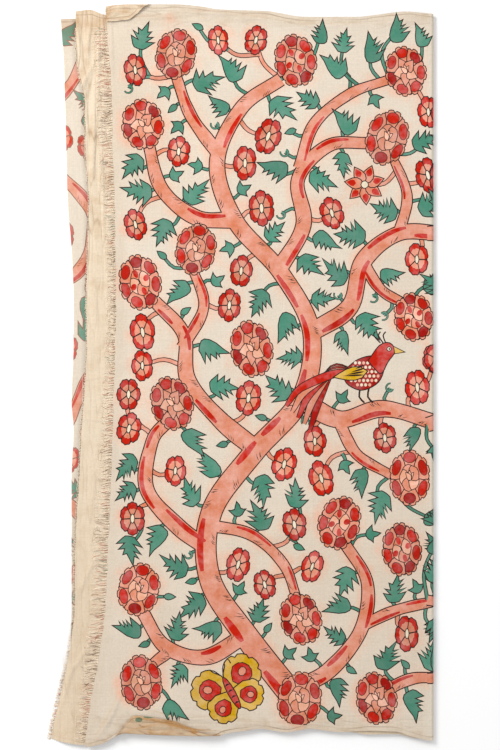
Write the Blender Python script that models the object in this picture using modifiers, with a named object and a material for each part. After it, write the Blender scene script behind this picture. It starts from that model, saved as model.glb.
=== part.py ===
"""Kalamkari cloth, 1.12 m wide and about 2.2 m long, folded in four and laid flat.

The cloth lies with its selvedges at the two ends of Y. It goes back and forth across X in four
layers: from its second frayed end to an inner fold on the right, back to a fold on the left,
along the surface it lies on, round an outer fold on the right and over everything to its first
frayed end. Lengths are in millimetres until a point is placed, and then in metres.
"""

import math
import random
from bisect import bisect_right
from collections import namedtuple

import bmesh
import bpy
from mathutils import Vector

MM = 0.001

# Driving sizes
THICKNESS = 1.2
LAYER_GAP = 1.4
PIECE_GAP = 0.3
RIGHT_SIDE = 292.2
DROOP_LENGTH = 30.0
FADE_BY_FOLD = 45.0

LAYER_PITCH = THICKNESS + LAYER_GAP
INNER_RADIUS = LAYER_PITCH / 2
OUTER_RADIUS = 1.5 * LAYER_PITCH
TURN_RADIUS = LAYER_PITCH / 2
RIGHT_CENTRE = RIGHT_SIDE - THICKNESS / 2 - OUTER_RADIUS

# Heights of the middle of each layer, from the surface up
UNDER_HEIGHT = THICKNESS / 2
THIRD_HEIGHT = UNDER_HEIGHT + LAYER_PITCH
SECOND_HEIGHT = THIRD_HEIGHT + LAYER_PITCH

# Mesh divisions
MAIN_ROWS = 28
HEM_ROWS = 6
HEM_LEAD = 12.0
LEAST_FOLD = 8.0
INNER_STEPS = 5
OUTER_STEPS = 8
FRONT_STOPS = (
    0.0, 0.035, 0.06, 0.075, 0.085, 0.095, 0.105, 0.115, 0.13, 0.145, 0.165, 0.2, 0.26, 0.31,
    0.345, 0.37, 0.395, 0.43, 0.52, 0.61, 0.7, 0.79, 0.87, 0.94, 1.0,
)
SECOND_STOPS = (0.0, 0.03, 0.06, 0.1, 0.18, 0.4, 0.7, 1.0)
PLAIN_STOPS = (0.0, 0.06, 0.2, 0.5, 0.8, 1.0)

# Fringe
LOCKS = 132
STRIP_WIDTH = 1.5
STRIP_THICKNESS = 0.9
LOCK_THICKNESS = 0.8
LOCK_MIDDLE_WIDTH = 3.0
LOCK_TIP_WIDTH = 1.1
MOST_LEAN = 1.5
FRINGE_LOW = -548.0
FRINGE_HIGH = 524.0

# Finishes
PRINTED_COLOUR = (0.8, 0.6, 0.5)
THREAD_COLOUR = (0.8, 0.68, 0.52)
COTTON_ROUGHNESS = 0.9

# The left side, from the lower selvedge up: x of the front layer's frayed edge and of the
# second layer's, the length of the threads that stand out of each, and x of the left fold.
Side = namedtuple("Side", "y front front_fray second second_fray fold")
LEFT_SIDE = (
    Side(-560, -232, 16, -285, 7, -256),
    Side(-490, -226, 19, -272, 8, -256),
    Side(-460, -223, 18, -265, 7, -256),
    Side(-400, -215, 18, -254, 6, -255),
    Side(-340, -209, 16, -248, 5, -254),
    Side(-280, -206, 17, -248, 5, -254),
    Side(-205, -201, 19, -245, 4, -254),
    Side(-160, -199, 16, -242, 4, -254),
    Side(-80, -196, 14, -238, 4, -251),
    Side(-40, -195, 14, -235, 4, -254),
    Side(50, -192, 10, -230, 3, -251),
    Side(115, -191, 10, -231, 3, -251),
    Side(190, -192, 11, -229, 3, -254),
    Side(265, -193, 14, -227, 3, -260),
    Side(340, -196, 17, -232, 3, -262),
    Side(415, -197, 19, -233, 3, -264),
    Side(475, -201, 19, -245, 3, -266),
    Side(560, -206, 18, -247, 3, -271),
)

# The lower and upper ends, from left to right: y of the front layer's outermost line, how much
# of its border is turned back over its face there, and y of the selvedges under it.
End = namedtuple("End", "x front flap second under")
LOWER_END = (
    End(-292, -559, 0, -547, -545),
    End(-271, -559, 0, -552, -547),
    End(-232, -559, 0, -557, -551),
    End(-218, -557, 0, -554, -550),
    End(-203, -553, 0, -549, -546),
    End(-192, -546, 0, -543, -540),
    End(-182, -541, 7, -537, -534),
    End(-173, -539, 17, -535, -532),
    End(-158, -540, 31, -536, -533),
    End(-105, -542, 26, -538, -535),
    End(-60, -543, 11, -539, -536),
    End(-37, -543, 6, -539, -536),
    End(-14, -538, 0, -534, -531),
    End(8, -535, 0, -531, -528),
    End(31, -532, 0, -529, -526),
    End(69, -537, 0, -533, -530),
    End(106, -532, 0, -529, -527),
    End(152, -537, 0, -534, -531),
    End(190, -535, 0, -541, -538),
    End(235, -536, 0, -540, -538),
    End(257, -543, 0, -545, -542),
    End(292, -550, 0, -551, -549),
)
UPPER_END = (
    End(-271, 555, 24, 547, 537),
    End(-247, 555, 24, 549, 538),
    End(-225, 555, 24, 551, 538),
    End(-208, 555, 24, 545, 537),
    End(-188, 558, 27, 541, 537),
    End(-168, 559, 26, 541, 537),
    End(-155, 559, 17, 541, 537),
    End(-141, 559, 7, 541, 537),
    End(-126, 559, 0, 541, 537),
    End(-97, 559, 0, 541, 537),
    End(-60, 556, 0, 541, 537),
    End(-29, 551, 0, 541, 537),
    End(38, 549, 0, 541, 537),
    End(99, 540, 0, 536, 533),
    End(174, 540, 0, 536, 533),
    End(205, 543, 0, 538, 535),
    End(250, 548, 0, 542, 541),
    End(292, 545, 0, 543, 543),
)

# Soft ridges: the place of the middle, the half length and half width, the turn in degrees
# from +X, and the height.
Ridge = namedtuple("Ridge", "x y along across turn height")
FRONT_RIDGES = (
    Ridge(190, 5, 110, 14, -8, 1.6),
    Ridge(75, 531, 75, 8, -7, 1.8),
    Ridge(239, 536, 34, 11, 4, 2.6),
    Ridge(57, -241, 24, 10, 10, 1.2),
    Ridge(-123, -407, 90, 8, 93, 1.3),
    Ridge(-125, -512, 75, 30, -6, 2.4),
    Ridge(-60, 210, 230, 120, 25, 1.4),
    Ridge(120, -260, 210, 110, -30, 1.6),
    Ridge(-90, -130, 170, 60, 70, 1.0),
    Ridge(150, 330, 150, 70, -55, 1.2),
)
SECOND_RIDGES = (
    Ridge(-223, 352, 70, 4.5, 88, 1.1),
    Ridge(-236, 440, 42, 5, 62, 0.9),
    Ridge(-228, -296, 46, 6, 66, 0.9),
)


def ease(t):
    """0 to 1, level at both ends."""
    t = min(max(t, 0.0), 1.0)
    return t * t * (3 - 2 * t)


def mix(a, b, t):
    return a + (b - a) * t


def read(rows, column, at):
    """One column of a table, as a smooth curve that never passes its own rows' values."""
    places = [row[0] for row in rows]
    values = [getattr(row, column) for row in rows]
    at = min(max(at, places[0]), places[-1])
    last = len(rows) - 1
    start = min(bisect_right(places, at), last) - 1

    def rise(i):
        return (values[i + 1] - values[i]) / (places[i + 1] - places[i])

    def slope(i):
        if i in (0, last) or rise(i - 1) * rise(i) <= 0:
            return 0.0
        return 2 * rise(i - 1) * rise(i) / (rise(i - 1) + rise(i))

    span = places[start + 1] - places[start]
    t = (at - places[start]) / span
    bend_in = slope(start) * span * t * (1 - t) ** 2
    bend_out = slope(start + 1) * span * t * t * (1 - t)
    return mix(values[start], values[start + 1], ease(t)) + bend_in - bend_out


def relief(ridges, x, y):
    """Height that the soft ridges add at a place. It dies away towards the right folds."""
    total = 0.0
    for ridge in ridges:
        turn = math.radians(ridge.turn)
        along = (x - ridge.x) * math.cos(turn) + (y - ridge.y) * math.sin(turn)
        across = (y - ridge.y) * math.cos(turn) - (x - ridge.x) * math.sin(turn)
        total += ridge.height * math.exp(-((along / ridge.along) ** 2) - (across / ridge.across) ** 2)
    return total * ease((RIGHT_CENTRE - x) / FADE_BY_FOLD)


def droop(x, y):
    """0 over the layers below, 1 where the second layer has come down to the surface."""
    return ease((read(LEFT_SIDE, "fold", y) - x) / DROOP_LENGTH)


def height_of(layer, x, y):
    """Height of the middle of one layer."""
    if layer == "under":
        return UNDER_HEIGHT
    if layer == "third":
        return THIRD_HEIGHT
    second = mix(SECOND_HEIGHT, UNDER_HEIGHT, droop(x, y)) + relief(SECOND_RIDGES, x, y)
    if layer == "second":
        return second
    return second + LAYER_PITCH + relief(FRONT_RIDGES, x, y)


def left_of(layer, y):
    """x where a layer's flat stretch starts on the left."""
    if layer in ("front", "second"):
        return read(LEFT_SIDE, layer, y)
    return read(LEFT_SIDE, "fold", y) + THICKNESS / 2 + INNER_RADIUS


def end_of(rows, layer, x):
    """Outermost y of a layer at one end, and how much of it is turned back there."""
    column = layer if layer in ("front", "second") else "under"
    flap = read(rows, "flap", x) if layer == "front" else 0.0
    return read(rows, column, x), flap


def turn_of(flap):
    """Angle and radius of a border's turn: a wide curl where little is turned back, then a fold."""
    if flap < LEAST_FOLD:
        angle = math.pi * ease(flap / LEAST_FOLD)
        return angle, flap / angle if angle else 0.0
    return math.pi, mix(LEAST_FOLD / math.pi, TURN_RADIUS, ease(flap / LEAST_FOLD - 1))


def hem_place(line, inward, flap, reach):
    """y and rise of a point of a border, at a flat distance from its selvedge."""
    angle, radius = turn_of(flap)
    centre = line + inward * (radius + THICKNESS / 2) * math.sin(min(angle, math.pi / 2))
    past = flap - reach
    if past <= 0:
        return centre - inward * past, 0.0
    turned = min(past / radius, angle)
    straight = past - radius * turned
    y = centre - inward * (radius * math.sin(turned) + straight * math.cos(turned))
    return y, radius * (1 - math.cos(turned)) + straight * math.sin(turned)


def hem_reach(flap, row):
    """Flat distance from the selvedge of a border's row: even on a plain border, else round its turn."""
    angle, radius = turn_of(flap)
    even = (flap + HEM_LEAD) * row / HEM_ROWS
    if row == 0:
        folded = 0.0
    elif row == HEM_ROWS:
        folded = flap + HEM_LEAD
    else:
        folded = flap - radius * angle * (HEM_ROWS - 1 - row) / (HEM_ROWS - 2)
    return mix(even, folded, ease((flap - LEAST_FOLD) / LEAST_FOLD))


def row_place(layer, x, row):
    """y and rise of one row of a layer: its lower border, its main stretch or its upper border."""
    lower, lower_flap = end_of(LOWER_END, layer, x)
    upper, upper_flap = end_of(UPPER_END, layer, x)
    last = 2 * HEM_ROWS + MAIN_ROWS
    if row <= HEM_ROWS:
        return hem_place(lower, 1, lower_flap, hem_reach(lower_flap, row))
    if row >= last - HEM_ROWS:
        return hem_place(upper, -1, upper_flap, hem_reach(upper_flap, last - row))
    start, _ = hem_place(lower, 1, lower_flap, hem_reach(lower_flap, HEM_ROWS))
    stop, _ = hem_place(upper, -1, upper_flap, hem_reach(upper_flap, HEM_ROWS))
    return mix(start, stop, (row - HEM_ROWS) / MAIN_ROWS), 0.0


def flat_point(layer, stop, row):
    """A point of a layer's flat stretch, from its left end at stop 0 to the right folds at 1."""
    x = mix(left_of(layer, 0.0), RIGHT_CENTRE, stop)
    for _ in range(2):
        y, rise = row_place(layer, x, row)
        x = mix(left_of(layer, y), RIGHT_CENTRE, stop)
    return Vector((x, y, height_of(layer, x, y) + rise)) * MM


def fold_point(lower, upper, stop, side, radius, t, row):
    """A point round a fold that joins two layers, from the lower one at t 0 to the upper at t 1."""
    start = flat_point(lower, stop, row)
    end = flat_point(upper, stop, row)
    angle = math.pi * t
    point = start.lerp(end, (1 - math.cos(angle)) / 2)
    point.x += side * radius * math.sin(angle) * MM
    return point


def stations():
    """The stops of the folded cloth in the order of its length, each as a function of the row."""
    found = []
    for stop in SECOND_STOPS:
        found.append(lambda row, stop=stop: flat_point("second", stop, row))
    for step in range(INNER_STEPS - 1, 0, -1):
        t = step / INNER_STEPS
        found.append(lambda row, t=t: fold_point("third", "second", 1, 1, INNER_RADIUS, t, row))
    for stop in reversed(PLAIN_STOPS):
        found.append(lambda row, stop=stop: flat_point("third", stop, row))
    for step in range(INNER_STEPS - 1, 0, -1):
        t = step / INNER_STEPS
        found.append(lambda row, t=t: fold_point("under", "third", 0, -1, INNER_RADIUS, t, row))
    for stop in PLAIN_STOPS:
        found.append(lambda row, stop=stop: flat_point("under", stop, row))
    for step in range(1, OUTER_STEPS):
        t = step / OUTER_STEPS
        found.append(lambda row, t=t: fold_point("under", "front", 1, 1, OUTER_RADIUS, t, row))
    for stop in reversed(FRONT_STOPS):
        found.append(lambda row, stop=stop: flat_point("front", stop, row))
    return found


def cotton(name, colour):
    made = bpy.data.materials.new(name)
    made.use_nodes = True
    shader = made.node_tree.nodes["Principled BSDF"]
    shader.inputs["Base Color"].default_value = (*colour, 1.0)
    shader.inputs["Roughness"].default_value = COTTON_ROUGHNESS
    shader.inputs["Metallic"].default_value = 0.0
    return made


def add_object(name, bm, look, collection):
    mesh = bpy.data.meshes.new(name)
    bmesh.ops.recalc_face_normals(bm, faces=bm.faces)
    bm.to_mesh(mesh)
    bm.free()
    mesh.materials.append(look)
    obj = bpy.data.objects.new(name, mesh)
    collection.objects.link(obj)
    return obj


def build_cloth(collection):
    """The whole cloth: a grid moved into its folds, with its thickness put on both sides."""
    stops = stations()
    columns = len(stops) - 1
    rows = 2 * HEM_ROWS + MAIN_ROWS
    bm = bmesh.new()
    bmesh.ops.create_grid(bm, x_segments=columns, y_segments=rows, size=0.5)
    for vert in bm.verts:
        column = round((vert.co.x + 0.5) * columns)
        row = round((vert.co.y + 0.5) * rows)
        vert.co = stops[column](row)
    cloth = add_object("cloth", bm, cotton("printed_cotton", PRINTED_COLOUR), collection)
    cloth.data.shade_smooth()
    shell = cloth.modifiers.new("thickness", "SOLIDIFY")
    shell.thickness = THICKNESS * MM
    shell.offset = 0.0
    return cloth


def frayed_edge(layer):
    """Points of a layer's frayed edge, one a row, from the lower selvedge to the upper border."""
    return [flat_point(layer, 0, row) for row in range(HEM_ROWS + MAIN_ROWS + 1)]


def point_at(edge, y):
    """The point of an edge at one y, on the straight run between its two nearest rows."""
    after = min(max(bisect_right([point.y for point in edge], y), 1), len(edge) - 1)
    low, high = edge[after - 1], edge[after]
    return low.lerp(high, (y - low.y) / (high.y - low.y))


def lock_height(layer, x, y):
    """Height of the middle of a lock that lies on what is under its layer."""
    if layer == "front":
        below = height_of("second", x, y) + THICKNESS / 2 + PIECE_GAP
    else:
        below = (THIRD_HEIGHT + THICKNESS / 2 + PIECE_GAP) * (1 - droop(x, y))
    return below + LOCK_THICKNESS / 2


def place_along(face):
    return face.calc_center_median().y


def shape_ring(face, centre, width, thickness):
    """Makes a lock's end face an upright rectangle round a point given in metres."""
    middle = face.calc_center_median()
    for vert in face.verts:
        side = math.copysign(width / 2, vert.co.y - middle.y)
        rise = math.copysign(thickness / 2, vert.co.z - middle.z)
        vert.co = centre + Vector((0, side, rise)) * MM


def build_fringe(name, layer, seed, collection):
    """A narrow strip beside a frayed edge, with a tapering lock drawn out of each of its sections."""
    draw = random.Random(seed)
    edge = frayed_edge(layer)
    bm = bmesh.new()
    bmesh.ops.create_grid(bm, x_segments=1, y_segments=LOCKS, size=0.5)
    for vert in bm.verts:
        y = mix(FRINGE_LOW, FRINGE_HIGH, vert.co.y + 0.5)
        out = PIECE_GAP if vert.co.x > 0 else PIECE_GAP + STRIP_WIDTH
        root = point_at(edge, y * MM)
        vert.co = Vector((root.x - out * MM, y * MM, root.z - STRIP_THICKNESS / 2 * MM))
    raised = bmesh.ops.extrude_face_region(bm, geom=bm.faces[:])
    top = [item for item in raised["geom"] if isinstance(item, bmesh.types.BMVert)]
    bmesh.ops.translate(bm, verts=top, vec=(0, 0, STRIP_THICKNESS * MM))
    bmesh.ops.recalc_face_normals(bm, faces=bm.faces)
    bm.normal_update()
    outer = sorted([face for face in bm.faces if face.normal.x < -0.9], key=place_along)
    roots = [face.calc_center_median() / MM for face in outer]
    leans = [draw.uniform(-MOST_LEAN, MOST_LEAN) for _ in outer]
    for reach, width in ((0.5, LOCK_MIDDLE_WIDTH), (1.0, LOCK_TIP_WIDTH)):
        outer = sorted(bmesh.ops.extrude_discrete_faces(bm, faces=outer)["faces"], key=place_along)
        for face, root, lean in zip(outer, roots, leans):
            length = read(LEFT_SIDE, layer + "_fray", root.y)
            x = root.x - reach * length
            y = root.y + lean * reach
            centre = Vector((x, y, lock_height(layer, x, y))) * MM
            shape_ring(face, centre, width, LOCK_THICKNESS)
    return add_object(name, bm, cotton(name + "_threads", THREAD_COLOUR), collection)


def centre_on_origin(objects):
    """Puts the middle of the whole outline over the origin."""
    bpy.context.view_layer.update()
    graph = bpy.context.evaluated_depsgraph_get()
    points = [Vector(corner) for obj in objects for corner in obj.evaluated_get(graph).bound_box]
    shift = Vector((0, 0, 0))
    for axis in (0, 1):
        values = [point[axis] for point in points]
        shift[axis] = -(min(values) + max(values)) / 2
    for obj in objects:
        for vert in obj.data.vertices:
            vert.co += shift


def main():
    for obj in list(bpy.data.objects):
        bpy.data.objects.remove(obj, do_unlink=True)
    collection = bpy.data.collections.new("kalamkari_fabric")
    bpy.context.scene.collection.children.link(collection)
    objects = [
        build_cloth(collection),
        build_fringe("fringe_front", "front", 3, collection),
        build_fringe("fringe_second", "second", 8, collection),
    ]
    centre_on_origin(objects)


main()
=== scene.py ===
# %% [markdown]
# # A painted kalamkari cloth, folded in four
#
# The object is one long cotton cloth with a flowering tree on it, folded back and forth and laid
# flat. Its solids come from the CAD model as the frame. This script gives them their looks: a
# sheet half a millimetre thick that carries the print, two frayed edges made of single threads,
# a floor, light and a camera. It starts by loading the frame and keeping its box.

# %% Load the frame
import math
import random
from collections import namedtuple

import bmesh
import bpy
import numpy as np
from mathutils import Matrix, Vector
from mathutils.bvhtree import BVHTree
from mathutils.geometry import delaunay_2d_cdt


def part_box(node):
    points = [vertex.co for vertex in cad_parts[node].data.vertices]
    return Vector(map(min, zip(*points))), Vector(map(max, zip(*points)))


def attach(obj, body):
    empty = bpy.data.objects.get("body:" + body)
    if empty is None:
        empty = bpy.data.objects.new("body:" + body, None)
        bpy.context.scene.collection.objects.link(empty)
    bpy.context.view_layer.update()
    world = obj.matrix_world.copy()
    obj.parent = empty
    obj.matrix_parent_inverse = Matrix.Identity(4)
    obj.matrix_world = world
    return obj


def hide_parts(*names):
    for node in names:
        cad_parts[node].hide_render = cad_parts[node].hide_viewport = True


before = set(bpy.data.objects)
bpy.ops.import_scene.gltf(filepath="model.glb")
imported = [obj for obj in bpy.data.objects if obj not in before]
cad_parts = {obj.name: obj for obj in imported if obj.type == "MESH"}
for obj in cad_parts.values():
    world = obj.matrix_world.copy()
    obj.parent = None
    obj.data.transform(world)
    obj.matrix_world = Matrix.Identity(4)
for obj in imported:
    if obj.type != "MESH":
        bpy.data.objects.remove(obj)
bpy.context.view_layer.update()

MM = 0.001

# %% [markdown]
# ## How the cloth lies
#
# A folded cloth is easiest to describe by its outline, seen from above. The tables below say, at
# a few places, where each layer's edge is and how much of a border is turned back. All lengths
# are in millimetres. A smooth curve reads them anywhere, and it never passes its own rows'
# values, so an edge can't wander off between two of them.

# %% The left side
Side = namedtuple("Side", "y front front_fray second second_fray fold")
LEFT_SIDE = (
    Side(-560, -232, 16, -285, 7, -256),
    Side(-490, -226, 19, -272, 8, -256),
    Side(-460, -223, 18, -265, 7, -256),
    Side(-400, -215, 18, -254, 6, -255),
    Side(-340, -209, 16, -248, 5, -254),
    Side(-280, -206, 17, -248, 5, -254),
    Side(-205, -201, 19, -245, 4, -254),
    Side(-160, -199, 16, -242, 4, -254),
    Side(-80, -196, 14, -238, 4, -251),
    Side(-40, -195, 14, -235, 4, -254),
    Side(50, -192, 10, -230, 3, -251),
    Side(115, -191, 10, -231, 3, -251),
    Side(190, -192, 11, -229, 3, -254),
    Side(265, -193, 14, -227, 3, -260),
    Side(340, -196, 17, -232, 3, -262),
    Side(415, -197, 19, -233, 3, -264),
    Side(475, -201, 19, -245, 3, -266),
    Side(560, -206, 18, -247, 3, -271),
)
print(len(LEFT_SIDE), "places along the left side")

# %% The lower and the upper end
End = namedtuple("End", "x front flap second under")
LOWER_END = (
    End(-292, -559, 0, -547, -545),
    End(-271, -559, 0, -552, -547),
    End(-232, -559, 0, -557, -551),
    End(-218, -557, 0, -554, -550),
    End(-203, -553, 0, -549, -546),
    End(-192, -546, 0, -543, -540),
    End(-182, -541, 7, -537, -534),
    End(-173, -539, 17, -535, -532),
    End(-158, -540, 31, -536, -533),
    End(-105, -542, 26, -538, -535),
    End(-60, -543, 11, -539, -536),
    End(-37, -543, 6, -539, -536),
    End(-14, -538, 0, -534, -531),
    End(8, -535, 0, -531, -528),
    End(31, -532, 0, -529, -526),
    End(69, -537, 0, -533, -530),
    End(106, -532, 0, -529, -527),
    End(152, -537, 0, -534, -531),
    End(190, -535, 0, -541, -538),
    End(235, -536, 0, -540, -538),
    End(257, -543, 0, -545, -542),
    End(292, -550, 0, -551, -549),
)
UPPER_END = (
    End(-271, 555, 24, 547, 537),
    End(-247, 555, 24, 549, 538),
    End(-225, 555, 24, 551, 538),
    End(-208, 555, 24, 545, 537),
    End(-188, 558, 27, 541, 537),
    End(-168, 559, 26, 541, 537),
    End(-155, 559, 17, 541, 537),
    End(-141, 559, 7, 541, 537),
    End(-126, 559, 0, 541, 537),
    End(-97, 559, 0, 541, 537),
    End(-60, 556, 0, 541, 537),
    End(-29, 551, 0, 541, 537),
    End(38, 549, 0, 541, 537),
    End(99, 540, 0, 536, 533),
    End(174, 540, 0, 536, 533),
    End(205, 543, 0, 538, 535),
    End(250, 548, 0, 542, 541),
    End(292, 545, 0, 543, 543),
)
print(len(LOWER_END), "places along the lower end and", len(UPPER_END), "along the upper")


# %% A smooth curve through a table
def ease(t):
    """0 to 1, level at both ends."""
    t = np.clip(t, 0.0, 1.0)
    return t * t * (3 - 2 * t)


def mix(a, b, t):
    """From a to b by a share, which is 0 at a and 1 at b."""
    return a + (b - a) * t


def read(rows, column, at):
    """One column of a table, as a smooth curve through its rows."""
    places = np.array([row[0] for row in rows], float)
    values = np.array([getattr(row, column) for row in rows], float)
    at = np.clip(at, places[0], places[-1])
    start = np.clip(np.searchsorted(places, at, side="right") - 1, 0, len(rows) - 2)
    rise = np.diff(values) / np.diff(places)
    slope = np.zeros(len(rows))
    same = rise[:-1] * rise[1:] > 0
    both = np.where(same, rise[:-1] + rise[1:], 1.0)
    slope[1:-1] = np.where(same, 2 * rise[:-1] * rise[1:] / both, 0.0)
    span = places[start + 1] - places[start]
    t = (at - places[start]) / span
    bend_in = slope[start] * span * t * (1 - t) ** 2
    bend_out = slope[start + 1] * span * t * t * (1 - t)
    return mix(values[start], values[start + 1], ease(t)) + bend_in - bend_out


print("the front layer is", round(float(292 - read(LEFT_SIDE, "front", 0.0))), "mm wide at mid height")

# %% [markdown]
# ## Heights, creases and folds
#
# The layers lie one over another, a few millimetres apart, and they are joined by three folds.
# A cloth that has been stored also keeps soft creases. Each of them is a smooth bump with a
# length, a width and a turn, and low waves in several directions make the rest uneven. Heights
# written as functions can be asked anywhere, so the same functions place the cloth, its threads
# and its normals.

# %% Heights of the layers
SOLID_THICKNESS = 1.2
SHEET = 0.5
LAYER_PITCH = 2.6
INNER_RADIUS = LAYER_PITCH / 2
TURN_RADIUS = LAYER_PITCH / 2
RIGHT_SIDE = 292.2
RIGHT_CENTRE = 287.7
OUTER_REACH = RIGHT_SIDE - RIGHT_CENTRE - SHEET / 2
UNDER_HEIGHT = SHEET / 2
THIRD_HEIGHT = SOLID_THICKNESS / 2 + LAYER_PITCH
SECOND_HEIGHT = THIRD_HEIGHT + LAYER_PITCH
DROOP_LENGTH = 30.0
FADE_BY_FOLD = 45.0
LEAST_FOLD = 8.0
print("third layer", round(THIRD_HEIGHT, 2), "mm up, second layer", round(SECOND_HEIGHT, 2), "mm up")

# %% Creases and waves
# The last column is how much painted shade lies along one side of a narrow crease.
Ridge = namedtuple("Ridge", "x y along across turn height dirt", defaults=(0.16,))
FRONT_RIDGES = (
    Ridge(190, 5, 110, 14, -8, 1.6),
    Ridge(75, 531, 75, 8, -7, 1.8),
    Ridge(239, 536, 34, 11, 4, 2.6),
    Ridge(57, -241, 24, 10, 10, 1.2),
    Ridge(-123, -407, 90, 8, 93, 1.3),
    Ridge(-125, -512, 75, 30, -6, 2.4),
    Ridge(-60, 210, 230, 120, 25, 1.4),
    Ridge(120, -260, 210, 110, -30, 1.6),
    Ridge(-90, -130, 170, 60, 70, 1.0),
    Ridge(150, 330, 150, 70, -55, 1.2),
    Ridge(-45, 546, 50, 3.0, -3, 0.9),
    Ridge(-112, 540, 42, 3.5, 7, 0.8),
    Ridge(34, 537, 60, 3.0, -6, 0.9),
    Ridge(142, 527, 52, 3.5, 2, 0.8),
    Ridge(-193, 498, 46, 3.0, 92, 0.9),
    Ridge(-188, -500, 48, 4.0, 66, 1.1),
    Ridge(-206, -532, 28, 4.0, 58, 1.0),
    Ridge(-20, -520, 70, 4.0, -5, 0.8),
    Ridge(120, -522, 60, 4.0, 4, 0.8),
    Ridge(-122, -520, 32, 2.2, -7, 0.9, 0.5),
    Ridge(-92, -529, 44, 2.0, -12, 0.9, 0.7),
    Ridge(-56, -535, 26, 2.0, -5, 0.7, 0.6),
    Ridge(-141, -530, 22, 2.2, 12, 0.8, 0.4),
    Ridge(-104, -513, 24, 2.0, -15, 0.7, 0.5),
    Ridge(-236, 540, 34, 2.4, 3, 0.8, 0.3),
    Ridge(-186, 546, 30, 2.2, -6, 0.8, 0.3),
    Ridge(-160, 538, 26, 2.2, 8, 0.7, 0.25),
)
SECOND_RIDGES = (
    Ridge(-220, 352, 72, 3.2, 88, 2.0),
    Ridge(-236, 440, 42, 4, 62, 1.6),
    Ridge(-213, 470, 56, 3, 90, 1.5),
    Ridge(-228, 505, 34, 3, 83, 1.4),
    Ridge(-243, 510, 32, 2.6, 96, 1.2),
    Ridge(-206, 520, 32, 2.6, 88, 1.2),
    Ridge(-232, 402, 50, 2.6, 93, 1.1),
    Ridge(-208, 320, 62, 2.6, 91, 1.0),
    Ridge(-230, 240, 48, 2.6, 86, 0.9),
    Ridge(-218, 120, 54, 3, 92, 0.8),
    Ridge(-222, -4, 17, 3, 9, 0.8),
    Ridge(-221, -66, 17, 3, -7, 0.8),
    Ridge(-222, -180, 36, 3, 84, 0.8),
    Ridge(-228, -296, 46, 4, 66, 1.2),
    Ridge(-240, -426, 32, 3.5, 58, 1.0),
    Ridge(-262, -474, 48, 4, 74, 1.1),
    Ridge(-250, -525, 36, 4, 102, 1.1),
)
Wave = namedtuple("Wave", "length turn start height")
WAVE_LENGTHS = (27, 34, 41, 55, 63, 78, 96, 120, 150)
WAVE_STEEPNESS = 0.0022
wave_draw = random.Random(11)
WAVES = [
    Wave(length, wave_draw.uniform(0, 180), wave_draw.uniform(0, 6.3), length * WAVE_STEEPNESS)
    for length in WAVE_LENGTHS
]
print(len(FRONT_RIDGES), "creases in front,", len(SECOND_RIDGES), "on the second layer,", len(WAVES), "waves")


# %% Height of any place
def ridge_place(ridge, x, y):
    """Where a point is in a ridge's own axes: along it and across it, in its own sizes."""
    turn = math.radians(ridge.turn)
    along = (x - ridge.x) * math.cos(turn) + (y - ridge.y) * math.sin(turn)
    across = (y - ridge.y) * math.cos(turn) - (x - ridge.x) * math.sin(turn)
    return along / ridge.along, across / ridge.across


def relief(ridges, x, y):
    """Height that the soft ridges add at a place. It dies away towards the right folds."""
    total = 0.0
    for ridge in ridges:
        along, across = ridge_place(ridge, x, y)
        total = total + ridge.height * np.exp(-(along**2) - across**2)
    return total * ease((RIGHT_CENTRE - x) / FADE_BY_FOLD)


def waves(x, y):
    """Low unevenness of a cloth that was washed and folded."""
    total = 0.0
    for wave in WAVES:
        turn = math.radians(wave.turn)
        phase = (x * math.cos(turn) + y * math.sin(turn)) * 2 * math.pi / wave.length
        total = total + wave.height * np.sin(phase + wave.start)
    return total * ease((RIGHT_CENTRE - x) / FADE_BY_FOLD)


def droop(x, y):
    """0 over the layers below, 1 where the second layer has come down to the surface."""
    return ease((read(LEFT_SIDE, "fold", y) - x) / DROOP_LENGTH)


def second_height(x, y):
    """The second layer's height, with its creases."""
    return mix(SECOND_HEIGHT, UNDER_HEIGHT, droop(x, y)) + relief(SECOND_RIDGES, x, y)


def front_height(x, y):
    """The front layer's height: one pitch over the second, with creases of its own."""
    return second_height(x, y) + LAYER_PITCH + relief(FRONT_RIDGES, x, y) + waves(x, y)


def fold_edge(y):
    """x of the middle of the left fold's turn."""
    return read(LEFT_SIDE, "fold", y) + SOLID_THICKNESS / 2 + INNER_RADIUS


print("the front layer lies", round(float(front_height(0.0, 0.0)), 2), "mm up in the middle")

# %% [markdown]
# ## One flat plan for the whole cloth
#
# Printing on a folded cloth is simple if the cloth is first drawn flat. Its plan has `u` across,
# from the front layer's frayed edge through all three folds to the other frayed edge, and `v`
# from the lower selvedge to the upper. `fold_up` takes a place of the plan to its place in
# space. The front layer keeps its own x and y in the plan, so what is drawn there comes out
# where it was drawn, and only a border that is turned back goes round a curl on the way.

# %% Stretches of the plan
INNER_ARC = math.pi * INNER_RADIUS
OUTER_ARC = math.pi * (OUTER_REACH + (front_height(RIGHT_CENTRE, 0.0) - UNDER_HEIGHT) / 2) / 2
UNDER_WIDTH = 540.0

FRONT_END = RIGHT_CENTRE
UNDER_START = FRONT_END + OUTER_ARC
UNDER_END = UNDER_START + UNDER_WIDTH
THIRD_START = UNDER_END + INNER_ARC
THIRD_END = THIRD_START + UNDER_WIDTH
SECOND_START = THIRD_END + INNER_ARC
print("the outer fold takes", round(float(OUTER_ARC), 1), "mm of cloth, an inner one", round(INNER_ARC, 1))


# %% Turned borders
def turn_of(flap):
    """Angle and radius of a border's turn: a wide curl where little is turned back, then a fold."""
    small = flap < LEAST_FOLD
    angle = np.where(small, math.pi * ease(flap / LEAST_FOLD), math.pi)
    curl = flap / np.maximum(angle, 0.001)
    fold = mix(LEAST_FOLD / math.pi, TURN_RADIUS, ease(flap / LEAST_FOLD - 1))
    return angle, np.maximum(np.where(small, curl, fold), 0.001)


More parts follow.
